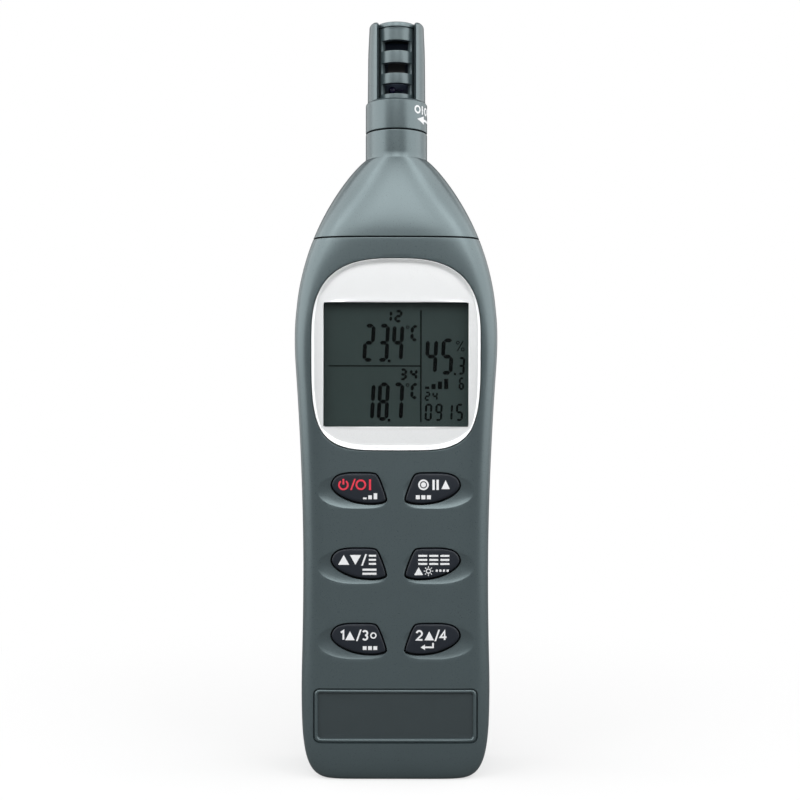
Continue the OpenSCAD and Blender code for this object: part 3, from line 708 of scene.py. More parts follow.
def door_skin():
    bm = bmesh.new()
    low, high = DOOR["low"] + DOOR_GAP, DOOR["high"] - DOOR_GAP
    half = DOOR["half_w"] - DOOR_GAP
    bmesh.ops.create_grid(bm, x_segments=72, y_segments=200, size=1)
    for v in bm.verts:
        x, z = v.co.x * half, low + (v.co.y + 1) / 2 * (high - low)
        v.co = (x, face_depth(x, z, rear_depth) - grip_depth(x, z), z)
    for v in bm.verts:
        if abs(abs(v.co.x) - half) < 1e-4 and min(v.co.z - low, high - v.co.z) < 1e-4:
            v.co.x *= 1 - 0.25 / half
            v.co.z += 0.25 if v.co.z < 20 else -0.25
    made = bmesh.ops.extrude_face_region(bm, geom=bm.faces[:])["geom"]
    for v in made:
        if isinstance(v, bmesh.types.BMVert):
            v.co.y = face_depth(v.co.x, v.co.z, rear_depth) - WALL
    bmesh.ops.recalc_face_normals(bm, faces=bm.faces)
    rim = [e for e in bm.edges if e.calc_face_angle(0) > 1.0 and
           all(v.co.y > face_depth(v.co.x, v.co.z, rear_depth) - 0.9 for v in e.verts)]
    return rounded_edges(bm, rim, 0.15)


def tongue(x):
    return joined(box(x - 2, x + 2, 10.4, 11.2, 12.7, 17),
                  box(x - 2, x + 2, 10.9, 11.7, 14.3, 17))


placed(carved(door_skin(), [("UNION", tongue(-9)), ("UNION", tongue(9))]), "door_shell",
       "door", plastic["battery_door"], ["battery_door"])

# %% [markdown]
# ## The nose and its neck
# Above the seam the same skin narrows from the covers' squared section to a round neck. The rows
# go up the inside, over the neck's rim and down the outside, and the last row meets the first.

# %% The nose


def round_ring(radius, z, count=192):
    return [Vector((radius * math.cos(2 * math.pi * i / count),
                    radius * math.sin(2 * math.pi * i / count), z)) for i in range(count)]


def nose():
    def around(z, inset):
        turns = [i / 2 for i in range(721)]
        return evenly([skin_point(z, inset, t) for t in turns], 192)[:-1]

    low, neck_top = SEAM_Z + 0.3, 154.0
    lip_z, lip_in, lip_out = SEAM_Z - 4.4, 3.6, 2.3
    heights = [low + 0.06 + (NECK_Z - 0.15 - low - 0.06) * math.sin(math.pi / 2 * i / 26)
               for i in range(27)]
    rows = [around(low, lip_in), around(lip_z, lip_in), around(lip_z, lip_out),
            around(low, lip_out), around(low, 0.24), around(low + 0.02, 0.1)]
    rows += [around(z, 0) for z in heights]
    rows += [round_ring(NECK_R + 0.06, NECK_Z - 0.08), round_ring(NECK_R, NECK_Z + 0.1),
             round_ring(NECK_R, 149), round_ring(NECK_R, neck_top - 0.2),
             round_ring(NECK_R - 0.06, neck_top - 0.06), round_ring(NECK_R - 0.2, neck_top),
             round_ring(4.68, neck_top), round_ring(4.68, 146.2)]
    rows += [around(z, 1.8) for z in (146.2, 143, 139, 135, 131)]
    rows.append(rows[0])
    return wrapped(rows)


placed(nose(), "nose_shell", "housing", plastic["nose_cone"], ["nose_cone"],
       sharp=40)

# %% [markdown]
# ## The sensor guard
# The guard is turned: a profile spun round the head axis in steps of two degrees. Two slots run
# down from its top. Their faces are taken out of the turned wall, and the open edges are drawn
# into flat sides that flare outwards. Then the floor of each slot is bridged, its sides are
# filled, the new edges are bevelled, and the posts' tops are eased down towards the slots.

# %% Turning a profile


def turned(profile, steps):
    """A closed profile of (radius, height) pairs, spun once round the Z axis."""
    bm = bmesh.new()
    verts = [bm.verts.new((r, 0, z)) for r, z in profile]
    edges = [bm.edges.new(pair) for pair in zip(verts, verts[1:])]
    if profile[0][0] > 0:
        edges.append(bm.edges.new((verts[-1], verts[0])))
    bmesh.ops.spin(bm, geom=verts + edges, axis=(0, 0, 1), cent=(0, 0, 0), dvec=(0, 0, 0),
                   angle=2 * math.pi, steps=steps, use_merge=True, use_duplicate=False)
    return cleaned(bm, 1e-4)


def off_front(point):
    """Degrees between a point and the front or back of the head axis, whichever is nearer."""
    return math.degrees(math.atan2(abs(point.x), abs(point.y)))


print("a test disc has", len(turned([(0, 0), (1, 0), (1, 1), (0, 1)], 24).faces), "faces")

# %% The guard
GUARD_Z, HEAD_Z = 154.3, 180.6
GUARD_R, GUARD_BORE, GUARD_TOP_R = 7.45, 5.35, 6.6
TOP_EDGE_R, TOP_EDGE_X, TOP_EDGE_Z = 0.8, 5.8, 179.8
SLOT_FLOOR, SLOT_X, SLOT_FLARE = 161.6, 4.2, 0.5
POST_EASE, EASED_FROM_X, EASED_FROM_Z = 0.5, 5.5, 179.9
CREASE = 0.9


def slot_side(radius):
    """How far from the middle the wall of a slot stands, wider towards the outside."""
    return SLOT_X + SLOT_FLARE * max(0.0, min(1.0, share(radius, GUARD_BORE, GUARD_TOP_R)))


def guard():
    outer = [(7.25, GUARD_Z), (7.39, GUARD_Z + 0.06), (GUARD_R, GUARD_Z + 0.2), (GUARD_R, 158),
             (GUARD_R, 161.0), (7.41, 161.12), (7.1, 161.5), (7.03, SLOT_FLOOR), (6.99, 161.8),
             (6.95, 167), (6.9, 172), (6.84, 174.5), (6.7, 177.5), (6.62, 179.0)]
    outer += [(TOP_EDGE_X + TOP_EDGE_R * math.cos(a), TOP_EDGE_Z + TOP_EDGE_R * math.sin(a))
              for a in (math.pi / 2 * i / 8 for i in range(9))]
    inner = [(5.55, HEAD_Z), (5.4, 180.5), (GUARD_BORE, 180.3), (GUARD_BORE, SLOT_FLOOR),
             (GUARD_BORE, 158.9), (5.65, 158.8), (5.65, 157.7), (GUARD_BORE, 157.6),
             (GUARD_BORE, GUARD_Z + 0.1), (5.45, GUARD_Z)]
    bm = turned(outer + inner, 180)
    middles = {f: f.calc_center_median() for f in bm.faces}
    gone = [f for f, m in middles.items()
            if m.z > SLOT_FLOOR and abs(m.x) < slot_side(m.xy.length)]
    bmesh.ops.delete(bm, geom=gone, context="FACES")
    sides = {v for e in bm.edges if e.is_boundary and any(
        v.co.z > SLOT_FLOOR + 1e-3 for v in e.verts) for v in e.verts}
    for v in sides:
        radius = v.co.xy.length
        side = slot_side(radius)
        v.co.x = math.copysign(side, v.co.x)
        v.co.y = math.copysign(math.sqrt(radius ** 2 - side ** 2), v.co.y)
    bmesh.ops.remove_doubles(bm, verts=bm.verts, dist=1e-3)
    floor = [e for e in bm.edges if e.is_boundary
             and all(abs(v.co.z - SLOT_FLOOR) < 1e-3 for v in e.verts)]
    for sign in (-1, 1):
        near = [e for e in floor if e.is_valid and e.verts[0].co.y * sign > 0]
        bmesh.ops.bridge_loops(bm, edges=near)
    closed_over(bm)
    edges = [e for e in bm.edges if e.calc_face_angle(0) > CREASE
             and all(v.co.z > SLOT_FLOOR - 0.01 for v in e.verts)]
    bm = rounded_edges(bm, edges, 0.25, 3)
    for v in bm.verts:
        near = share(abs(v.co.x), EASED_FROM_X, SLOT_X)
        if v.co.z > EASED_FROM_Z and near > 0:
            v.co.z -= POST_EASE * min(1.0, near) ** 1.6
    return bm


placed(guard(), "guard_sleeve", "guard", plastic["sensor_guard"],
       ["sensor_guard"], sharp=40)

# %% [markdown]
# ## The sensor cage
# The cage is turned too, with a row of points at the top and bottom of each window. Faces between
# those rows are taken out of the outer and the inner wall alike, and the two rims are bridged.

# %% The cage
WINDOWS = [163.1, 168.05, 173.45]
WINDOW_TALL, WINDOW_ANGLE = 2.45, 44
CAGE_R, CAGE_END_R, CAGE_BORE, CAGE_FLOOR, CAGE_TOP = 5.0, 5.05, 3.75, 144.7, 180.3


def cage():
    marks = sorted(z + d for z in WINDOWS for d in (0, WINDOW_TALL))
    flange = [(5.45, CAGE_FLOOR), (5.45, 145.9), (4.6, 145.9), (4.6, GUARD_Z - 0.29)]
    bead = [(CAGE_END_R, GUARD_Z - 0.29), (CAGE_END_R, 157.8), (5.55, 158.13), (5.55, 158.47),
            (CAGE_END_R, 158.8), (CAGE_END_R, 159.4)]
    tube = [(CAGE_R, 159.6)] + [(CAGE_R, z) for z in marks] + [(CAGE_R, 178.5)]
    cap = [(CAGE_END_R, 178.7), (CAGE_END_R, 178.86), (4.98, 178.92), (4.7, 178.95),
           (4.7, 179.15), (4.98, 179.18), (CAGE_END_R, 179.25), (CAGE_END_R, 180.0),
           (4.98, 180.2), (4.8, CAGE_TOP), (0, CAGE_TOP)]
    inner = [(0, 178.4), (CAGE_BORE, 178.4)] + [(CAGE_BORE, z) for z in reversed(marks)]
    inner.append((CAGE_BORE, CAGE_FLOOR))
    bm = turned(inner + flange + bead + tube + cap, 120)
    for z in WINDOWS:
        gone = [f for f in bm.faces if z < f.calc_center_median().z < z + WINDOW_TALL
                and off_front(f.calc_center_median()) < WINDOW_ANGLE
                and f.calc_center_median().xy.length > 3]
        bmesh.ops.delete(bm, geom=gone, context="FACES")
        for sign in (-1, 1):
            rims = [e for e in bm.edges if e.is_boundary and e.verts[0].co.y * sign > 0
                    and z - 0.01 < e.verts[0].co.z < z + WINDOW_TALL + 0.01]
            bmesh.ops.bridge_loops(bm, edges=rims)
    bmesh.ops.recalc_face_normals(bm, faces=bm.faces)
    low, high = WINDOWS[0] - 0.1, WINDOWS[-1] + WINDOW_TALL + 0.1
    edges = [e for e in bm.edges if e.calc_face_angle(0) > CREASE
             and all(low < v.co.z < high for v in e.verts)]
    return rounded_edges(bm, edges, 0.16, 2)


placed(cage(), "cage_tube", "housing", plastic["sensor_cage"],
       ["sensor_cage"], sharp=40)

# %% [markdown]
# ## The silver bezel
# The bezel is painted silver. Its rim rises round the outline and dips to a flat face inside,
# steeper at the sides, where there is less room. Rays from the middle of the window carry each
# point of the outline to its own point of the window, so no quad is twisted.

# %% The bezel
RIM_W, RIM_SHARE, CORNER_R = 2.3, 0.42, 0.2


def on_rays(outline, turns, centre):
    """The outline's point in each direction from centre."""
    polar = sorted((math.atan2(p.y - centre.y, p.x - centre.x) % (2 * math.pi),
                    (p - centre).length) for p in outline)
    found = []
    for t in turns:
        after = next((k for k, (a, _) in enumerate(polar) if a > t), 0)
        (a0, r0), (a1, r1) = polar[after - 1], polar[after]
        span, part = (a1 - a0) % (2 * math.pi), (t - a0) % (2 * math.pi)
        r = r0 + (r1 - r0) * part / span
        found.append(centre + Vector((math.cos(t), math.sin(t))) * r)
    return found


def bezel():
    centre = Vector((0, WINDOW_Z))
    window = rounded_shape(rectangle(WINDOW_W - 0.15, WINDOW_H - 0.15, 0, WINDOW_Z), CORNER_R,
                           1200)
    turns = sorted({math.atan2(p.y - centre.y, p.x - centre.x) % (2 * math.pi)
                    for p in window[::6]})
    outer = on_rays(bezel_outline(0, 960), turns, centre)
    inner = on_rays(window, turns, centre)

    def between(part, low=0.0):
        """A row that is part of the way over the rim's band, and low of the way over the rest."""
        row = []
        for a, b in zip(outer, inner):
            reach = (b - a).length
            rim = min(RIM_W, RIM_SHARE * reach)
            row.append(a + (b - a) / reach * (rim * part + (reach - rim) * low))
        return row

    def raised(row, proud):
        return [Vector((p.x, 0.3 - proud - face_depth(p.x, p.y, front_depth, -0.3), p.y))
                for p in row]

    rows = [at_depth(outer, SEAT_Y + 0.01), raised(outer, 0.05)]
    for part, proud in ((0.02, 0.2), (0.045, 0.29), (0.08, 0.28), (0.13, 0.17), (0.22, -0.06),
                        (0.32, -0.32), (0.42, -0.45), (0.54, -0.5), (0.75, -0.5), (1, -0.49)):
        rows.append(raised(between(part), proud))
    for low in (0.2, 0.45, 0.7, 0.9):
        rows.append(raised(between(1, low), -0.48))
    for part, y in ((0.965, -9.9), (0.985, -9.87), (1, -9.78)):
        rows.append([Vector((p.x, y, p.y)) for p in between(1, part)])
    rows.append([Vector((p.x, SEAT_Y + 0.01, p.y)) for p in inner])
    rows.append(rows[0])
    return wrapped(rows)


silver = finish("silver_paint", (0.94, 0.955, 0.96), shade=0.98, rough=0.3, metallic=0.4,
                grain=14, depth=0.004, spread=0.15, Coat_Weight=0.2, Coat_Roughness=0.2)
placed(bezel(), "bezel_frame", "housing", silver, ["display_bezel"], sharp=50)

# %% [markdown]
# ## The display
# Behind a clear lens lies the liquid crystal panel: dark green-grey glass with near-black
# segments. Segments painted in a material would blur, so each is a thin raised shape of its own
# on the glass, and every digit is built from the same seven bars, leaning slightly.

# %% The lens and the glass
clear = finish("lens_clear", (0.005, 0.006, 0.006), rough=0.04, grain=1, depth=0.0002,
               spread=0.1, rough_swing=0.01, Alpha=0.05, IOR=1.49)


def slab(x0, x1, y0, y1, z0, z1, radius=0.12):
    bm = box(x0, x1, y0, y1, z0, z1)
    return rounded_edges(bm, bm.edges[:], radius)


placed(slab(-17.85, 17.85, -8.97, -8.0, 82.6, 113.4), "lens_plate", "housing",
       clear, ["display_lens"])
panel = finish("lcd_panel", (0.036, 0.054, 0.052), shade=0.8, rough=0.3, grain=2, depth=0.001,
               spread=0.05, rough_swing=0.03, Specular_IOR_Level=0.2)
placed(slab(-17.55, 17.55, -7.9, -5.9, 82.0, 113.1), "lcd_panel", "housing",
       panel, ["lcd_glass"])

# %% Seven bars make a digit
BARS = {"a": (0.5, 1.0, "across"), "g": (0.5, 0.5, "across"), "d": (0.5, 0.0, "across"),
        "f": (0.0, 0.75, "up"), "b": (1.0, 0.75, "up"), "e": (0.0, 0.25, "up"),
        "c": (1.0, 0.25, "up")}
DIGITS = {"0": "abcdef", "1": "bc", "2": "abged", "3": "abgcd", "4": "fgbc", "5": "afgcd",
          "6": "afgedc", "7": "abc", "8": "abcdefg", "9": "abcdfg", "C": "afed"}
INK_Y, INK_T = -7.905, 0.02


def plate(bm, outlines, y, thickness):
    """A thin plate in the front view; outlines that share corners become one piece."""
    corners = {}

    def corner(x, z):
        key = (round(x, 4), round(z, 4))
        if key not in corners:
            corners[key] = bm.verts.new((x, y, z))
        return corners[key]

    faces = [bm.faces.new([corner(x, z) for x, z in outline]) for outline in outlines]
    made = bmesh.ops.extrude_face_region(bm, geom=faces)["geom"]
    bmesh.ops.translate(bm, vec=(0, -thickness, 0),
                        verts=[v for v in made if isinstance(v, bmesh.types.BMVert)])


def ink(bm, outline):
    """A thin printed shape on the glass."""
    plate(bm, [outline], INK_Y, INK_T)


def band(x, z, radius, width, low, high, steps=24):
    """The quads of an arc, from angle low to high."""
    turns = [math.radians(low + (high - low) * i / steps) for i in range(steps + 1)]
    return [[(x + r * math.cos(t), z + r * math.sin(t)) for r, t in
             ((radius, a), (radius, b), (radius - width, b), (radius - width, a))]
            for a, b in zip(turns, turns[1:])]


def digit(bm, text, x, z, w, h, t, lean=0.05):
    """One digit, w wide and h high, of bars t thick, with its lower left corner at x, z."""
    for key in DIGITS[text]:
        u, v, way = BARS[key]
        cx, cz = x + t / 2 + u * (w - t), z + t / 2 + v * (h - t)
        half = (w - t) / 2 - 0.06 * t if way == "across" else (h - t) / 4 - 0.06 * t
        tip = half - t / 2
        bar = [(-half, 0), (-tip, -t / 2), (tip, -t / 2), (half, 0), (tip, t / 2), (-tip, t / 2)]
        if way == "up":
            bar = [(b, a) for a, b in bar]
        ink(bm, [(cx + a + lean * (cz + b - z), cz + b) for a, b in bar])


def number(bm, text, x, z, w, h, t, pitch):
    for k, letter in enumerate(text):
        digit(bm, letter, x + k * pitch, z, w, h, t)


def patch(bm, x0, x1, z0, z1):
    ink(bm, [(x0, z0), (x1, z0), (x1, z1), (x0, z1)])


def ring_mark(bm, x, z, r, t):
    plate(bm, band(x, z, r, t, 0, 360), INK_Y, INK_T)


print("digits known:", "".join(DIGITS))

# %% What the display reads


def lcd_marks():
    bm = bmesh.new()
    patch(bm, 5.72, 6.06, 84.5, 111.0)
    patch(bm, -16.0, 5.74, 97.6, 97.92)
    number(bm, "234", -8.0, 98.75, 2.75, 9.0, 0.92, 3.4)
    patch(bm, -1.95, -1.3, 98.6, 99.25)
    number(bm, "187", -8.0, 84.75, 2.75, 9.1, 0.92, 3.4)
    patch(bm, -1.95, -1.3, 84.6, 85.25)
    for z in (103.6, 89.9):
        ring_mark(bm, 2.75, z + 3.35, 0.42, 0.2)
        digit(bm, "C", 3.35, z, 1.95, 3.85, 0.74)
    number(bm, "12", -2.9, 108.05, 1.9, 3.0, 0.62, 2.45)
    number(bm, "34", 0.75, 94.35, 1.8, 2.85, 0.62, 2.45)
    number(bm, "45", 6.7, 95.7, 2.9, 8.6, 0.92, 3.75)
    patch(bm, 13.7, 14.25, 95.6, 96.15)
    digit(bm, "3", 14.6, 95.7, 1.6, 4.2, 0.52)
    ring_mark(bm, 14.65, 103.3, 0.45, 0.2)
    ring_mark(bm, 15.8, 101.7, 0.45, 0.2)
    ink(bm, [(14.35, 101.3), (14.63, 101.3), (16.05, 103.7), (15.77, 103.7)])
    number(bm, "0915", 6.75, 84.75, 1.7, 4.1, 0.5, 2.45)
    number(bm, "24", 6.75, 89.5, 1.3, 2.2, 0.4, 1.8)
    digit(bm, "6", 14.8, 92.1, 1.3, 3.0, 0.46)
    for k in range(4):
        patch(bm, 6.9 + 1.5 * k, 7.9 + 1.5 * k, 92.3, 92.9 + 0.6 * k)
    bmesh.ops.recalc_face_normals(bm, faces=bm.faces)
    return bm


lcd_ink = finish("lcd_ink", (0.0004, 0.0012, 0.0014), rough=0.5, grain=2, depth=0.0005,
                 Specular_IOR_Level=0.05)
placed(lcd_marks(), "lcd_segments", "housing", lcd_ink)

# %% [markdown]
# ## The rubber keys
# Each key is one moulding: a cap with a crowned face, a flange that keeps it under the cover, and
# a stem over its snap dome. One stack of rings makes all three, from the stem's end to the crown.

# %% Key caps
KEY_Y, CAP_X, CAP_DROP, STEM_X, CROWN = -10.5, -8.9, 0.1, -8.7, 0.1


def crown(x, z, row):
    """How far the cap's face drops off towards its edge."""
    out = min(1.0, (((x - CAP_X) / 5.9) ** 2 + ((z - row + CAP_DROP) / 3.5) ** 2) ** 0.5)
    return CROWN * out ** 3


def key_cap(row):
    centre = Vector((CAP_X, row - CAP_DROP))
    edge = key_outline(row)

    def ring(radius, y):
        ways = [(p - centre).normalized() for p in edge]
        return [Vector((STEM_X + radius * w.x, y, row + radius * w.y)) for w in ways]

    def face(part):
        spots = [centre + (p - centre) * part for p in key_outline(row, -0.36)]
        return [Vector((q.x, KEY_Y + crown(q.x, q.y, row), q.y)) for q in spots]

    rows = [ring(0.02, -5.8), ring(1.3, -5.8), ring(1.5, -5.95), ring(1.5, -6.5),
            ring(1.8, -6.7), at_depth(key_outline(row, 0.6), -6.7),
            at_depth(key_outline(row, 0.7), -6.8), at_depth(key_outline(row, 0.7), -7.3),
            at_depth(edge, -7.35), at_depth(edge, -9.9)]
    rows += [at_depth(key_outline(row, -g), y) for g, y in
             ((0.0, -10.12), (0.03, -10.22), (0.1, -10.31), (0.2, -10.37))]
    rows += [face(part) for part in (1, 0.86, 0.7, 0.5, 0.3, 0.1, 0.01)]
    return closed_over(wrapped(rows))


rubber = finish("key_rubber", (0.010, 0.014, 0.021), shade=0.85, rough=0.42, grain=9,
                depth=0.006, spread=0.3, IOR=1.42)
for name, row in key_rows.items():
    left = key_cap(row)
    right = mirrored(left)
    for side, cap in (("left", left), ("right", right)):
        placed(cap, f"cap_{name}_{side}", f"key_{name}_{side}", rubber,
               [f"key_{name}_{side}"], sharp=50)

# %% [markdown]
# ## Printed symbols
# The caps carry small white symbols and one red one. Print has almost no thickness, but a shape
# of its own stays crisp at any distance. Each is a thin prism that follows the crown under it.

# %% Shapes of print
PRINT_T, PRINT_SINK = 0.06, 0.03


def printed(bm, *outlines):
    """Printed shapes with their backs at y = 0."""
    plate(bm, outlines, 0, PRINT_T)


def arc_band(bm, x, z, radius, width, low, high):
    printed(bm, *band(x, z, radius, width, low, high))


def bar_mark(bm, x0, x1, z0, z1):
    printed(bm, [(x0, z0), (x1, z0), (x1, z1), (x0, z1)])


def wedge_mark(bm, x, z, w, h):
    printed(bm, [(x - w / 2, z), (x + w / 2, z), (x, z + h)])


def slash_mark(bm, x, z, h, t=0.4, lean=0.35):
    printed(bm, [(x, z), (x + t, z), (x + t + lean * h, z + h), (x + lean * h, z + h)])


def squares(bm, x, z, size, count, pitch):
    for k in range(count):
        bar_mark(bm, x + k * pitch, x + k * pitch + size, z, z + size)


print("print stands proud of its cap by", PRINT_T - PRINT_SINK)

# %% Numbers drawn in strokes


def ribbon(bm, line, width):
    """A printed stroke of even width along a line of points."""
    sides = []
    for k, p in enumerate(line):
        before = (p - line[k - 1]).normalized() if k else (line[1] - p).normalized()
        after = (line[k + 1] - p).normalized() if k < len(line) - 1 else before
        run = (before + after).normalized()
        across = Vector((-run.y, run.x)) * width / 2 / max(0.5, run.dot(after))
        sides.append((p + across, p - across))
    printed(bm, *[(a, b, d, c) for (a, b), (c, d) in zip(sides, sides[1:])])


def bow(x, z, radius, low, high, steps=12):
    """Points of an arc, from angle low to high."""
    return [(x + radius * math.cos(t), z + radius * math.sin(t)) for t in
            (math.radians(low + (high - low) * i / steps) for i in range(steps + 1))]


NUMERALS = {"1": [[(0.08, 0.8), (0.36, 1.0), (0.36, 0.0)]],
            "2": [bow(0.32, 0.7, 0.3, 170, -35) + [(0.03, 0.0), (0.68, 0.0)]],
            "3": [bow(0.3, 0.74, 0.26, 150, -90), bow(0.3, 0.26, 0.26, 90, -150)],
            "4": [[(0.48, 0.0), (0.48, 1.0), (0.0, 0.3), (0.7, 0.3)]]}


def numeral(bm, text, x, z, height, width=0.42):
    """A plain number, drawn in strokes."""
    tall = height - width
    for line in NUMERALS[text]:
        ribbon(bm, [Vector((x + width / 2 + tall * a, z + width / 2 + tall * b))
                    for a, b in line], width)


print("numerals known:", "".join(NUMERALS))

# %% The keys' symbols


def power_symbol(bm):
    arc_band(bm, -12.3, 0.75, 1.25, 0.42, 125, 415)
    bar_mark(bm, -12.52, -12.08, 0.85, 2.15)
    slash_mark(bm, -10.7, -0.45, 2.6)
    arc_band(bm, -8.2, 0.8, 1.25, 0.42, 0, 360)
    bar_mark(bm, -6.3, -5.8, -0.45, 2.05)


def power_marks(bm):
    for k in range(3):
        bar_mark(bm, -7.7 + 1.25 * k, -6.85 + 1.25 * k, -2.6, -2.2 + 0.5 * k)


def record_symbol(bm):
    arc_band(bm, 6.5, 0.8, 1.25, 0.4, 0, 360)
    arc_band(bm, 6.5, 0.8, 0.6, 0.58, 0, 360)
    for x in (8.6, 9.55):
        bar_mark(bm, x, x + 0.55, -0.4, 2.0)
    wedge_mark(bm, 11.7, -0.2, 2.0, 2.1)
    squares(bm, 4.7, -2.6, 0.95, 3, 1.3)


def extremes_symbol(bm):
    wedge_mark(bm, -12.2, -0.3, 2.6, 2.3)
    printed(bm, [(-10.75, 2.0), (-9.45, -0.3), (-8.15, 2.0)])
    slash_mark(bm, -8.1, -0.5, 2.7)
    for z in (-0.3, 0.65, 1.6):
        bar_mark(bm, -6.3, -4.6, z, z + 0.45)
    for z in (-2.65, -1.7):
        bar_mark(bm, -7.8, -4.5, z, z + 0.5)


def memory_symbol(bm):
    for x in (5.3, 7.9, 10.5):
        for low, high in ((1.6, 2.05), (0.65, 1.1), (-0.3, 0.15)):
            bar_mark(bm, x, x + 2.1, low, high)
    wedge_mark(bm, 5.4, -2.7, 2.1, 1.85)
    x, z = 7.7, -1.75
    arc_band(bm, x, z, 0.6, 0.22, 0, 360)
    for i in range(8):
        a = math.pi / 4 * i
        c, s = math.cos(a), math.sin(a)
        printed(bm, [(x + r * c - w * s, z + r * s + w * c)
                     for r, w in ((0.75, 0.1), (0.75, -0.1), (1.12, -0.1), (1.12, 0.1))])
    squares(bm, 9.4, -1.9, 0.5, 4, 0.85)


def first_symbol(bm):
    numeral(bm, "1", -13.2, -0.4, 2.5)
    wedge_mark(bm, -10.7, -0.3, 2.2, 2.1)
    slash_mark(bm, -9.3, -0.5, 2.7)
    numeral(bm, "3", -8.0, -0.4, 2.5)
    arc_band(bm, -5.2, 0.8, 0.75, 0.3, 0, 360)
    squares(bm, -7.7, -2.6, 0.9, 3, 1.25)


def second_symbol(bm):
    numeral(bm, "2", 4.7, -0.4, 2.5)
    wedge_mark(bm, 7.9, -0.3, 2.2, 2.1)
    slash_mark(bm, 9.1, -0.5, 2.7)
    numeral(bm, "4", 10.3, -0.4, 2.5)
    printed(bm, [(5.9, -1.95), (6.9, -2.6), (6.9, -1.3)])
    bar_mark(bm, 6.85, 9.0, -2.15, -1.75)
    bar_mark(bm, 8.6, 9.0, -1.8, -0.9)


print("symbols are ready")

# %% Printing on the caps
white_print = finish("white_print", (0.78, 0.79, 0.80), shade=0.94, rough=0.5, grain=10,
                     depth=0.002)
red_print = finish("red_print", (0.72, 0.035, 0.065), grain=10, depth=0.002)
PRINTS = [("upper", "left", "", power_symbol, red_print),
          ("upper", "left", "_marks", power_marks, white_print),
          ("upper", "right", "", record_symbol, white_print),
          ("middle", "left", "", extremes_symbol, white_print),
          ("middle", "right", "", memory_symbol, white_print),
          ("lower", "left", "", first_symbol, white_print),
          ("lower", "right", "", second_symbol, white_print)]
for name, side, end, draw, colour in PRINTS:
    bm = bmesh.new()
    draw(bm)
    for v in bm.verts:
        v.co.y += KEY_Y + PRINT_SINK + crown(-abs(v.co.x), v.co.z, 0)
        v.co.z += key_rows[name]
    bmesh.ops.recalc_face_normals(bm, faces=bm.faces)
    placed(bm, f"print_{name}_{side}{end}", f"key_{name}_{side}", colour)

# %% [markdown]
# ## The mark on the collar
# An arrow on the guard's collar shows which way it turns, under a row of two rings and two bars.
# The mark is drawn flat and then bent round the collar, and it turns with the guard.

# %% Collar mark
MARK_R, MARK_THIN = 7.43, 0.7


def strip(bm, s0, s1, low, high):
    """Narrow slices along the collar; low and high give each end's lower and upper edge."""
    n = round((s1 - s0) / 0.3)
    at = [(s0 + (s1 - s0) * k / n, low[0] + (low[1] - low[0]) * k / n,
           high[0] + (high[1] - high[0]) * k / n) for k in range(n + 1)]
    printed(bm, *[[(a, p), (b, q), (b, r), (a, t)]
                  for (a, p, t), (b, q, r) in zip(at, at[1:])])


def collar_mark():
    bm = bmesh.new()
    strip(bm, 5.45, 8.0, (156.83, 155.85), (156.87, 157.85))
    strip(bm, 7.95, 12.6, (156.55,) * 2, (157.15,) * 2)
    arc_band(bm, 5.6, 159.15, 1.0, 0.42, 0, 360)
    strip(bm, 7.1, 7.55, (158.15,) * 2, (160.15,) * 2)
    arc_band(bm, 9.1, 159.15, 1.0, 0.42, 0, 360)
    strip(bm, 10.6, 11.05, (158.15,) * 2, (160.15,) * 2)
    for v in bm.verts:
        a, r = v.co.x / GUARD_R, MARK_R - v.co.y * MARK_THIN
        v.co.x, v.co.y = r * math.sin(a), -r * math.cos(a)
    bmesh.ops.recalc_face_normals(bm, faces=bm.faces)
    return bm


placed(collar_mark(), "collar_print", "guard", white_print)

# %% [markdown]
# ## The batteries
# Each cell is turned: a can with rounded shoulders in a printed sleeve that stops short of both
# metal ends, and a small button on top.

# %% Cells
CELL_Y, CELL_PITCH = 5.85, 12.3


def cell(x):
    profile = [(0, 17.9), (4.1, 17.9), (4.3, 18.05), (4.75, 18.05), (5.1, 18.1), (5.25, 18.35),
               (5.25, 30), (5.25, 45), (5.25, 61.1), (5.1, 61.4), (4.6, 61.5), (4.2, 61.45),
               (2.1, 61.6), (1.9, 61.7), (1.9, 62.25), (1.75, 62.39), (0, 62.4)]
    bm = turned(profile, 64)
    bmesh.ops.translate(bm, vec=(x, CELL_Y, 0), verts=bm.verts)
    return bm


sleeve = finish("battery_sleeve", (0.03, 0.12, 0.09), shade=0.8, rough=0.28, grain=3,
                depth=0.003, Coat_Weight=0.4, Coat_Roughness=0.15)
steel = finish("bright_steel", (0.62, 0.62, 0.61), shade=0.85, rough=0.28, metallic=1.0,
               grain=5, depth=0.003, stretch=(1, 1, 6))
for name, x in (("left", -CELL_PITCH), ("middle", 0.0), ("right", CELL_PITCH)):
    made = placed(cell(x), f"cell_{name}", "housing", sleeve,
                  [f"battery_{name}"], sharp=30)
    made.data.materials.append(steel)
    for face in made.data.polygons:
        out = Vector((face.center.x * 1000 - x, face.center.y * 1000 - CELL_Y)).length
        face.material_index = 1 if out < 4.5 else 0
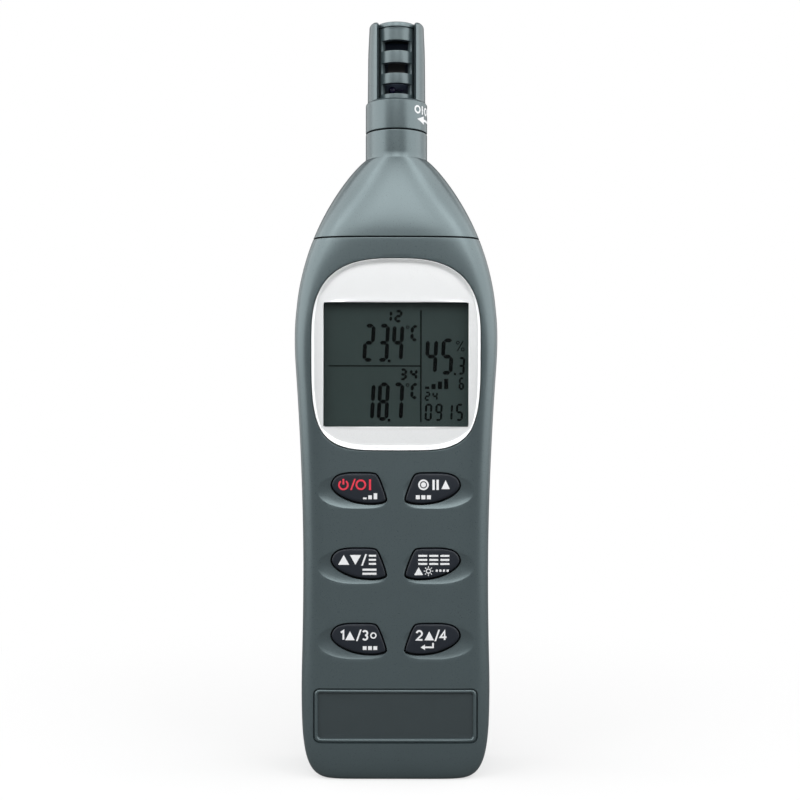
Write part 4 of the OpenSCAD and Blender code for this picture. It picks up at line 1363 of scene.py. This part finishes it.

# %% [markdown]
# ## What stays as the CAD made it
# Most inner pieces already have their real shape. Each gets its own finish: glass-cloth board,
# black moulded chips, plated steel, white mouldings and rubber. The humidity sensor's near black
# is partly its own colour and partly painted shade for the dark inside the cage windows.

# %% Finishes of the inner pieces
inner = {
    "lcd_holder": ((0.70, 0.70, 0.66), {}),
    "lcd_diffuser": ((0.82, 0.84, 0.80), {"rough": 0.25}),
    "contact_strip": ((0.62, 0.13, 0.12), {"rough": 0.55}),
    "main_board": ((0.02, 0.13, 0.055), {"rough": 0.32, "spread": 0.6}),
    "main_chip": ((0.02, 0.02, 0.022), {"grain": 12}),
    "quartz_crystal": ((0.66, 0.67, 0.70), {"metallic": 1.0, "rough": 0.25}),
    "capacitors": ((0.04, 0.05, 0.16), {"rough": 0.3}),
    "resistors": ((0.03, 0.03, 0.03), {"grain": 9}),
    "keypad_mat": ((0.02, 0.024, 0.03), {"rough": 0.6}),
    "key_domes": ((0.66, 0.62, 0.52), {"metallic": 1.0, "rough": 0.22}),
    "board_screws": ((0.58, 0.58, 0.58), {"metallic": 1.0, "rough": 0.3}),
    "housing_screws": ((0.52, 0.53, 0.55), {"metallic": 1.0, "rough": 0.32}),
    "battery_springs": ((0.66, 0.67, 0.68), {"metallic": 1.0, "rough": 0.22}),
    "battery_contacts": ((0.68, 0.66, 0.60), {"metallic": 1.0, "rough": 0.3}),
    "sensor_board": ((0.015, 0.03, 0.06), {"rough": 0.35}),
    # The humidity sensor's near black is partly its own colour, partly painted shade for the dark
    # inside the cage windows.
    "humidity_sensor": ((0.005, 0.006, 0.007), {"rough": 0.5}),
    "temperature_sensor": ((0.015, 0.012, 0.05), {"rough": 0.2}),
    "sensor_leads": ((0.35, 0.05, 0.03), {"rough": 0.4}),
    "lead_connector": ((0.72, 0.70, 0.62), {"rough": 0.4}),
}
for name, (colour, more) in inner.items():
    node = nodes[name]
    node.data.materials.clear()
    node.data.materials.append(finish("inner_" + name, colour, **more))
print("inner pieces finished:", len(inner))

# %% [markdown]
# ## Floor, backdrop and light
# Soft boxes stand at both sides and above, as in a product photograph: the side boxes draw the
# bright strips on the rounded edges, and the two upper ones light the sloping nose. Weaker ones
# behind trace the edges, and a card in front lifts the face. The floor and the backdrop are white
# to the camera alone, and the floor keeps part of its shadow.

# %% Floor
PAPER_GREY, PAPER_WHITE = 0.2, 0.8
floor_mesh = bpy.data.meshes.new("floor")
bm = bmesh.new()
bmesh.ops.create_grid(bm, x_segments=8, y_segments=8, size=2.5)
bm.to_mesh(floor_mesh)
bm.free()
floor = bpy.data.objects.new("floor", floor_mesh)
bpy.context.scene.collection.objects.link(floor)
floor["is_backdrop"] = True
paper = bpy.data.materials.new("studio_paper")
paper.use_nodes = True
tree = paper.node_tree
diffuse = tuned(tree.nodes["Principled BSDF"], Roughness=0.9, Specular_IOR_Level=0.0)
light_path = tree.nodes.new("ShaderNodeLightPath")
white = tree.nodes.new("ShaderNodeMix")
white.data_type = "RGBA"
white.inputs[MIX_A].default_value = (PAPER_GREY, PAPER_GREY, PAPER_GREY, 1)
white.inputs[MIX_B].default_value = (PAPER_WHITE, PAPER_WHITE, PAPER_WHITE, 1)
place = tree.nodes.new("ShaderNodeTexCoord")
away = tree.nodes.new("ShaderNodeVectorMath")
away.operation = "LENGTH"
spread = tuned(tree.nodes.new("ShaderNodeMapRange"), From_Min=0.06, From_Max=0.2, To_Min=0.6,
               To_Max=1.0)
spread.interpolation_type = "SMOOTHSTEP"
lift = tree.nodes.new("ShaderNodeMath")
lift.operation = "MULTIPLY"
glow = tuned(tree.nodes.new("ShaderNodeEmission"), Strength=1.0)
mixed = tree.nodes.new("ShaderNodeMixShader")
linked(tree, (light_path, "Is Camera Ray", white, 0), (white, MIX_RESULT, diffuse, "Base Color"),
       (place, "Object", away, 0), (away, "Value", spread, "Value"), (spread, "Result", lift, 0),
       (light_path, "Is Camera Ray", lift, 1), (lift, 0, mixed, "Fac"),
       (diffuse, "BSDF", mixed, 1), (glow, "Emission", mixed, 2),
       (mixed, "Shader", tree.nodes["Material Output"], "Surface"))
floor_mesh.materials.append(paper)
print("floor size in m:", [round(d, 2) for d in floor.dimensions])

# %% Backdrop
FILL = 0.12
world = bpy.data.worlds.new("studio")
bpy.context.scene.world = world
world.use_nodes = True
tree = world.node_tree
fill = tuned(tree.nodes["Background"], Color=(1, 1, 1, 1), Strength=FILL)
seen = tuned(tree.nodes.new("ShaderNodeBackground"), Color=(1, 1, 1, 1), Strength=1.0)
light_path = tree.nodes.new("ShaderNodeLightPath")
either = tree.nodes.new("ShaderNodeMath")
either.operation = "MAXIMUM"
mixed = tree.nodes.new("ShaderNodeMixShader")
linked(tree, (light_path, "Is Camera Ray", either, 0),
       (light_path, "Is Transmission Ray", either, 1), (either, 0, mixed, "Fac"),
       (fill, "Background", mixed, 1), (seen, "Background", mixed, 2),
       (mixed, "Shader", tree.nodes["World Output"], "Surface"))
print("fill light:", FILL)

# %% Soft boxes
AIM = Vector((0, 0, 0.1))


def soft_box(name, azimuth, height, reach, width, tall, level):
    """A box round the part, turned to it; level is how bright it looks, 1 being white."""
    a = math.radians(azimuth)
    place = Vector((math.sin(a) * reach, -math.cos(a) * reach, height))
    data = bpy.data.lights.new(name, "AREA")
    data.shape = "RECTANGLE"
    data.size, data.size_y = width, tall
    data.energy = level * math.pi * width * tall
    made = bpy.data.objects.new(name, data)
    made.location = place
    made.rotation_euler = (AIM - place).to_track_quat("-Z", "Y").to_euler()
    bpy.context.scene.collection.objects.link(made)
    return made


soft_box("box_left", azimuth=-72, height=0.43, reach=0.7, width=0.9, tall=1.0, level=2.4)
soft_box("box_right", azimuth=70, height=0.43, reach=0.7, width=0.95, tall=1.0, level=2.25)
soft_box("rim_left", azimuth=-125, height=0.25, reach=0.7, width=0.6, tall=0.8, level=1.2)
soft_box("rim_right", azimuth=125, height=0.25, reach=0.7, width=0.6, tall=0.8, level=1.2)
soft_box("box_top", azimuth=0, height=0.56, reach=0.56, width=1.06, tall=0.44, level=2.4)
soft_box("box_top_inner", azimuth=0, height=0.56, reach=0.57, width=0.24, tall=0.44, level=1.7)
soft_box("card_front", azimuth=0, height=0.09, reach=0.9, width=0.4, tall=0.4, level=0.32)

# %% Sizes
sizes = {"cad": [list(c) for c in cad_box], "visual": [list(c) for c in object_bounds()]}
for kind, (low, high) in sizes.items():
    print(kind, "size in mm:", [round(1000 * (b - a), 2) for a, b in zip(low, high)])
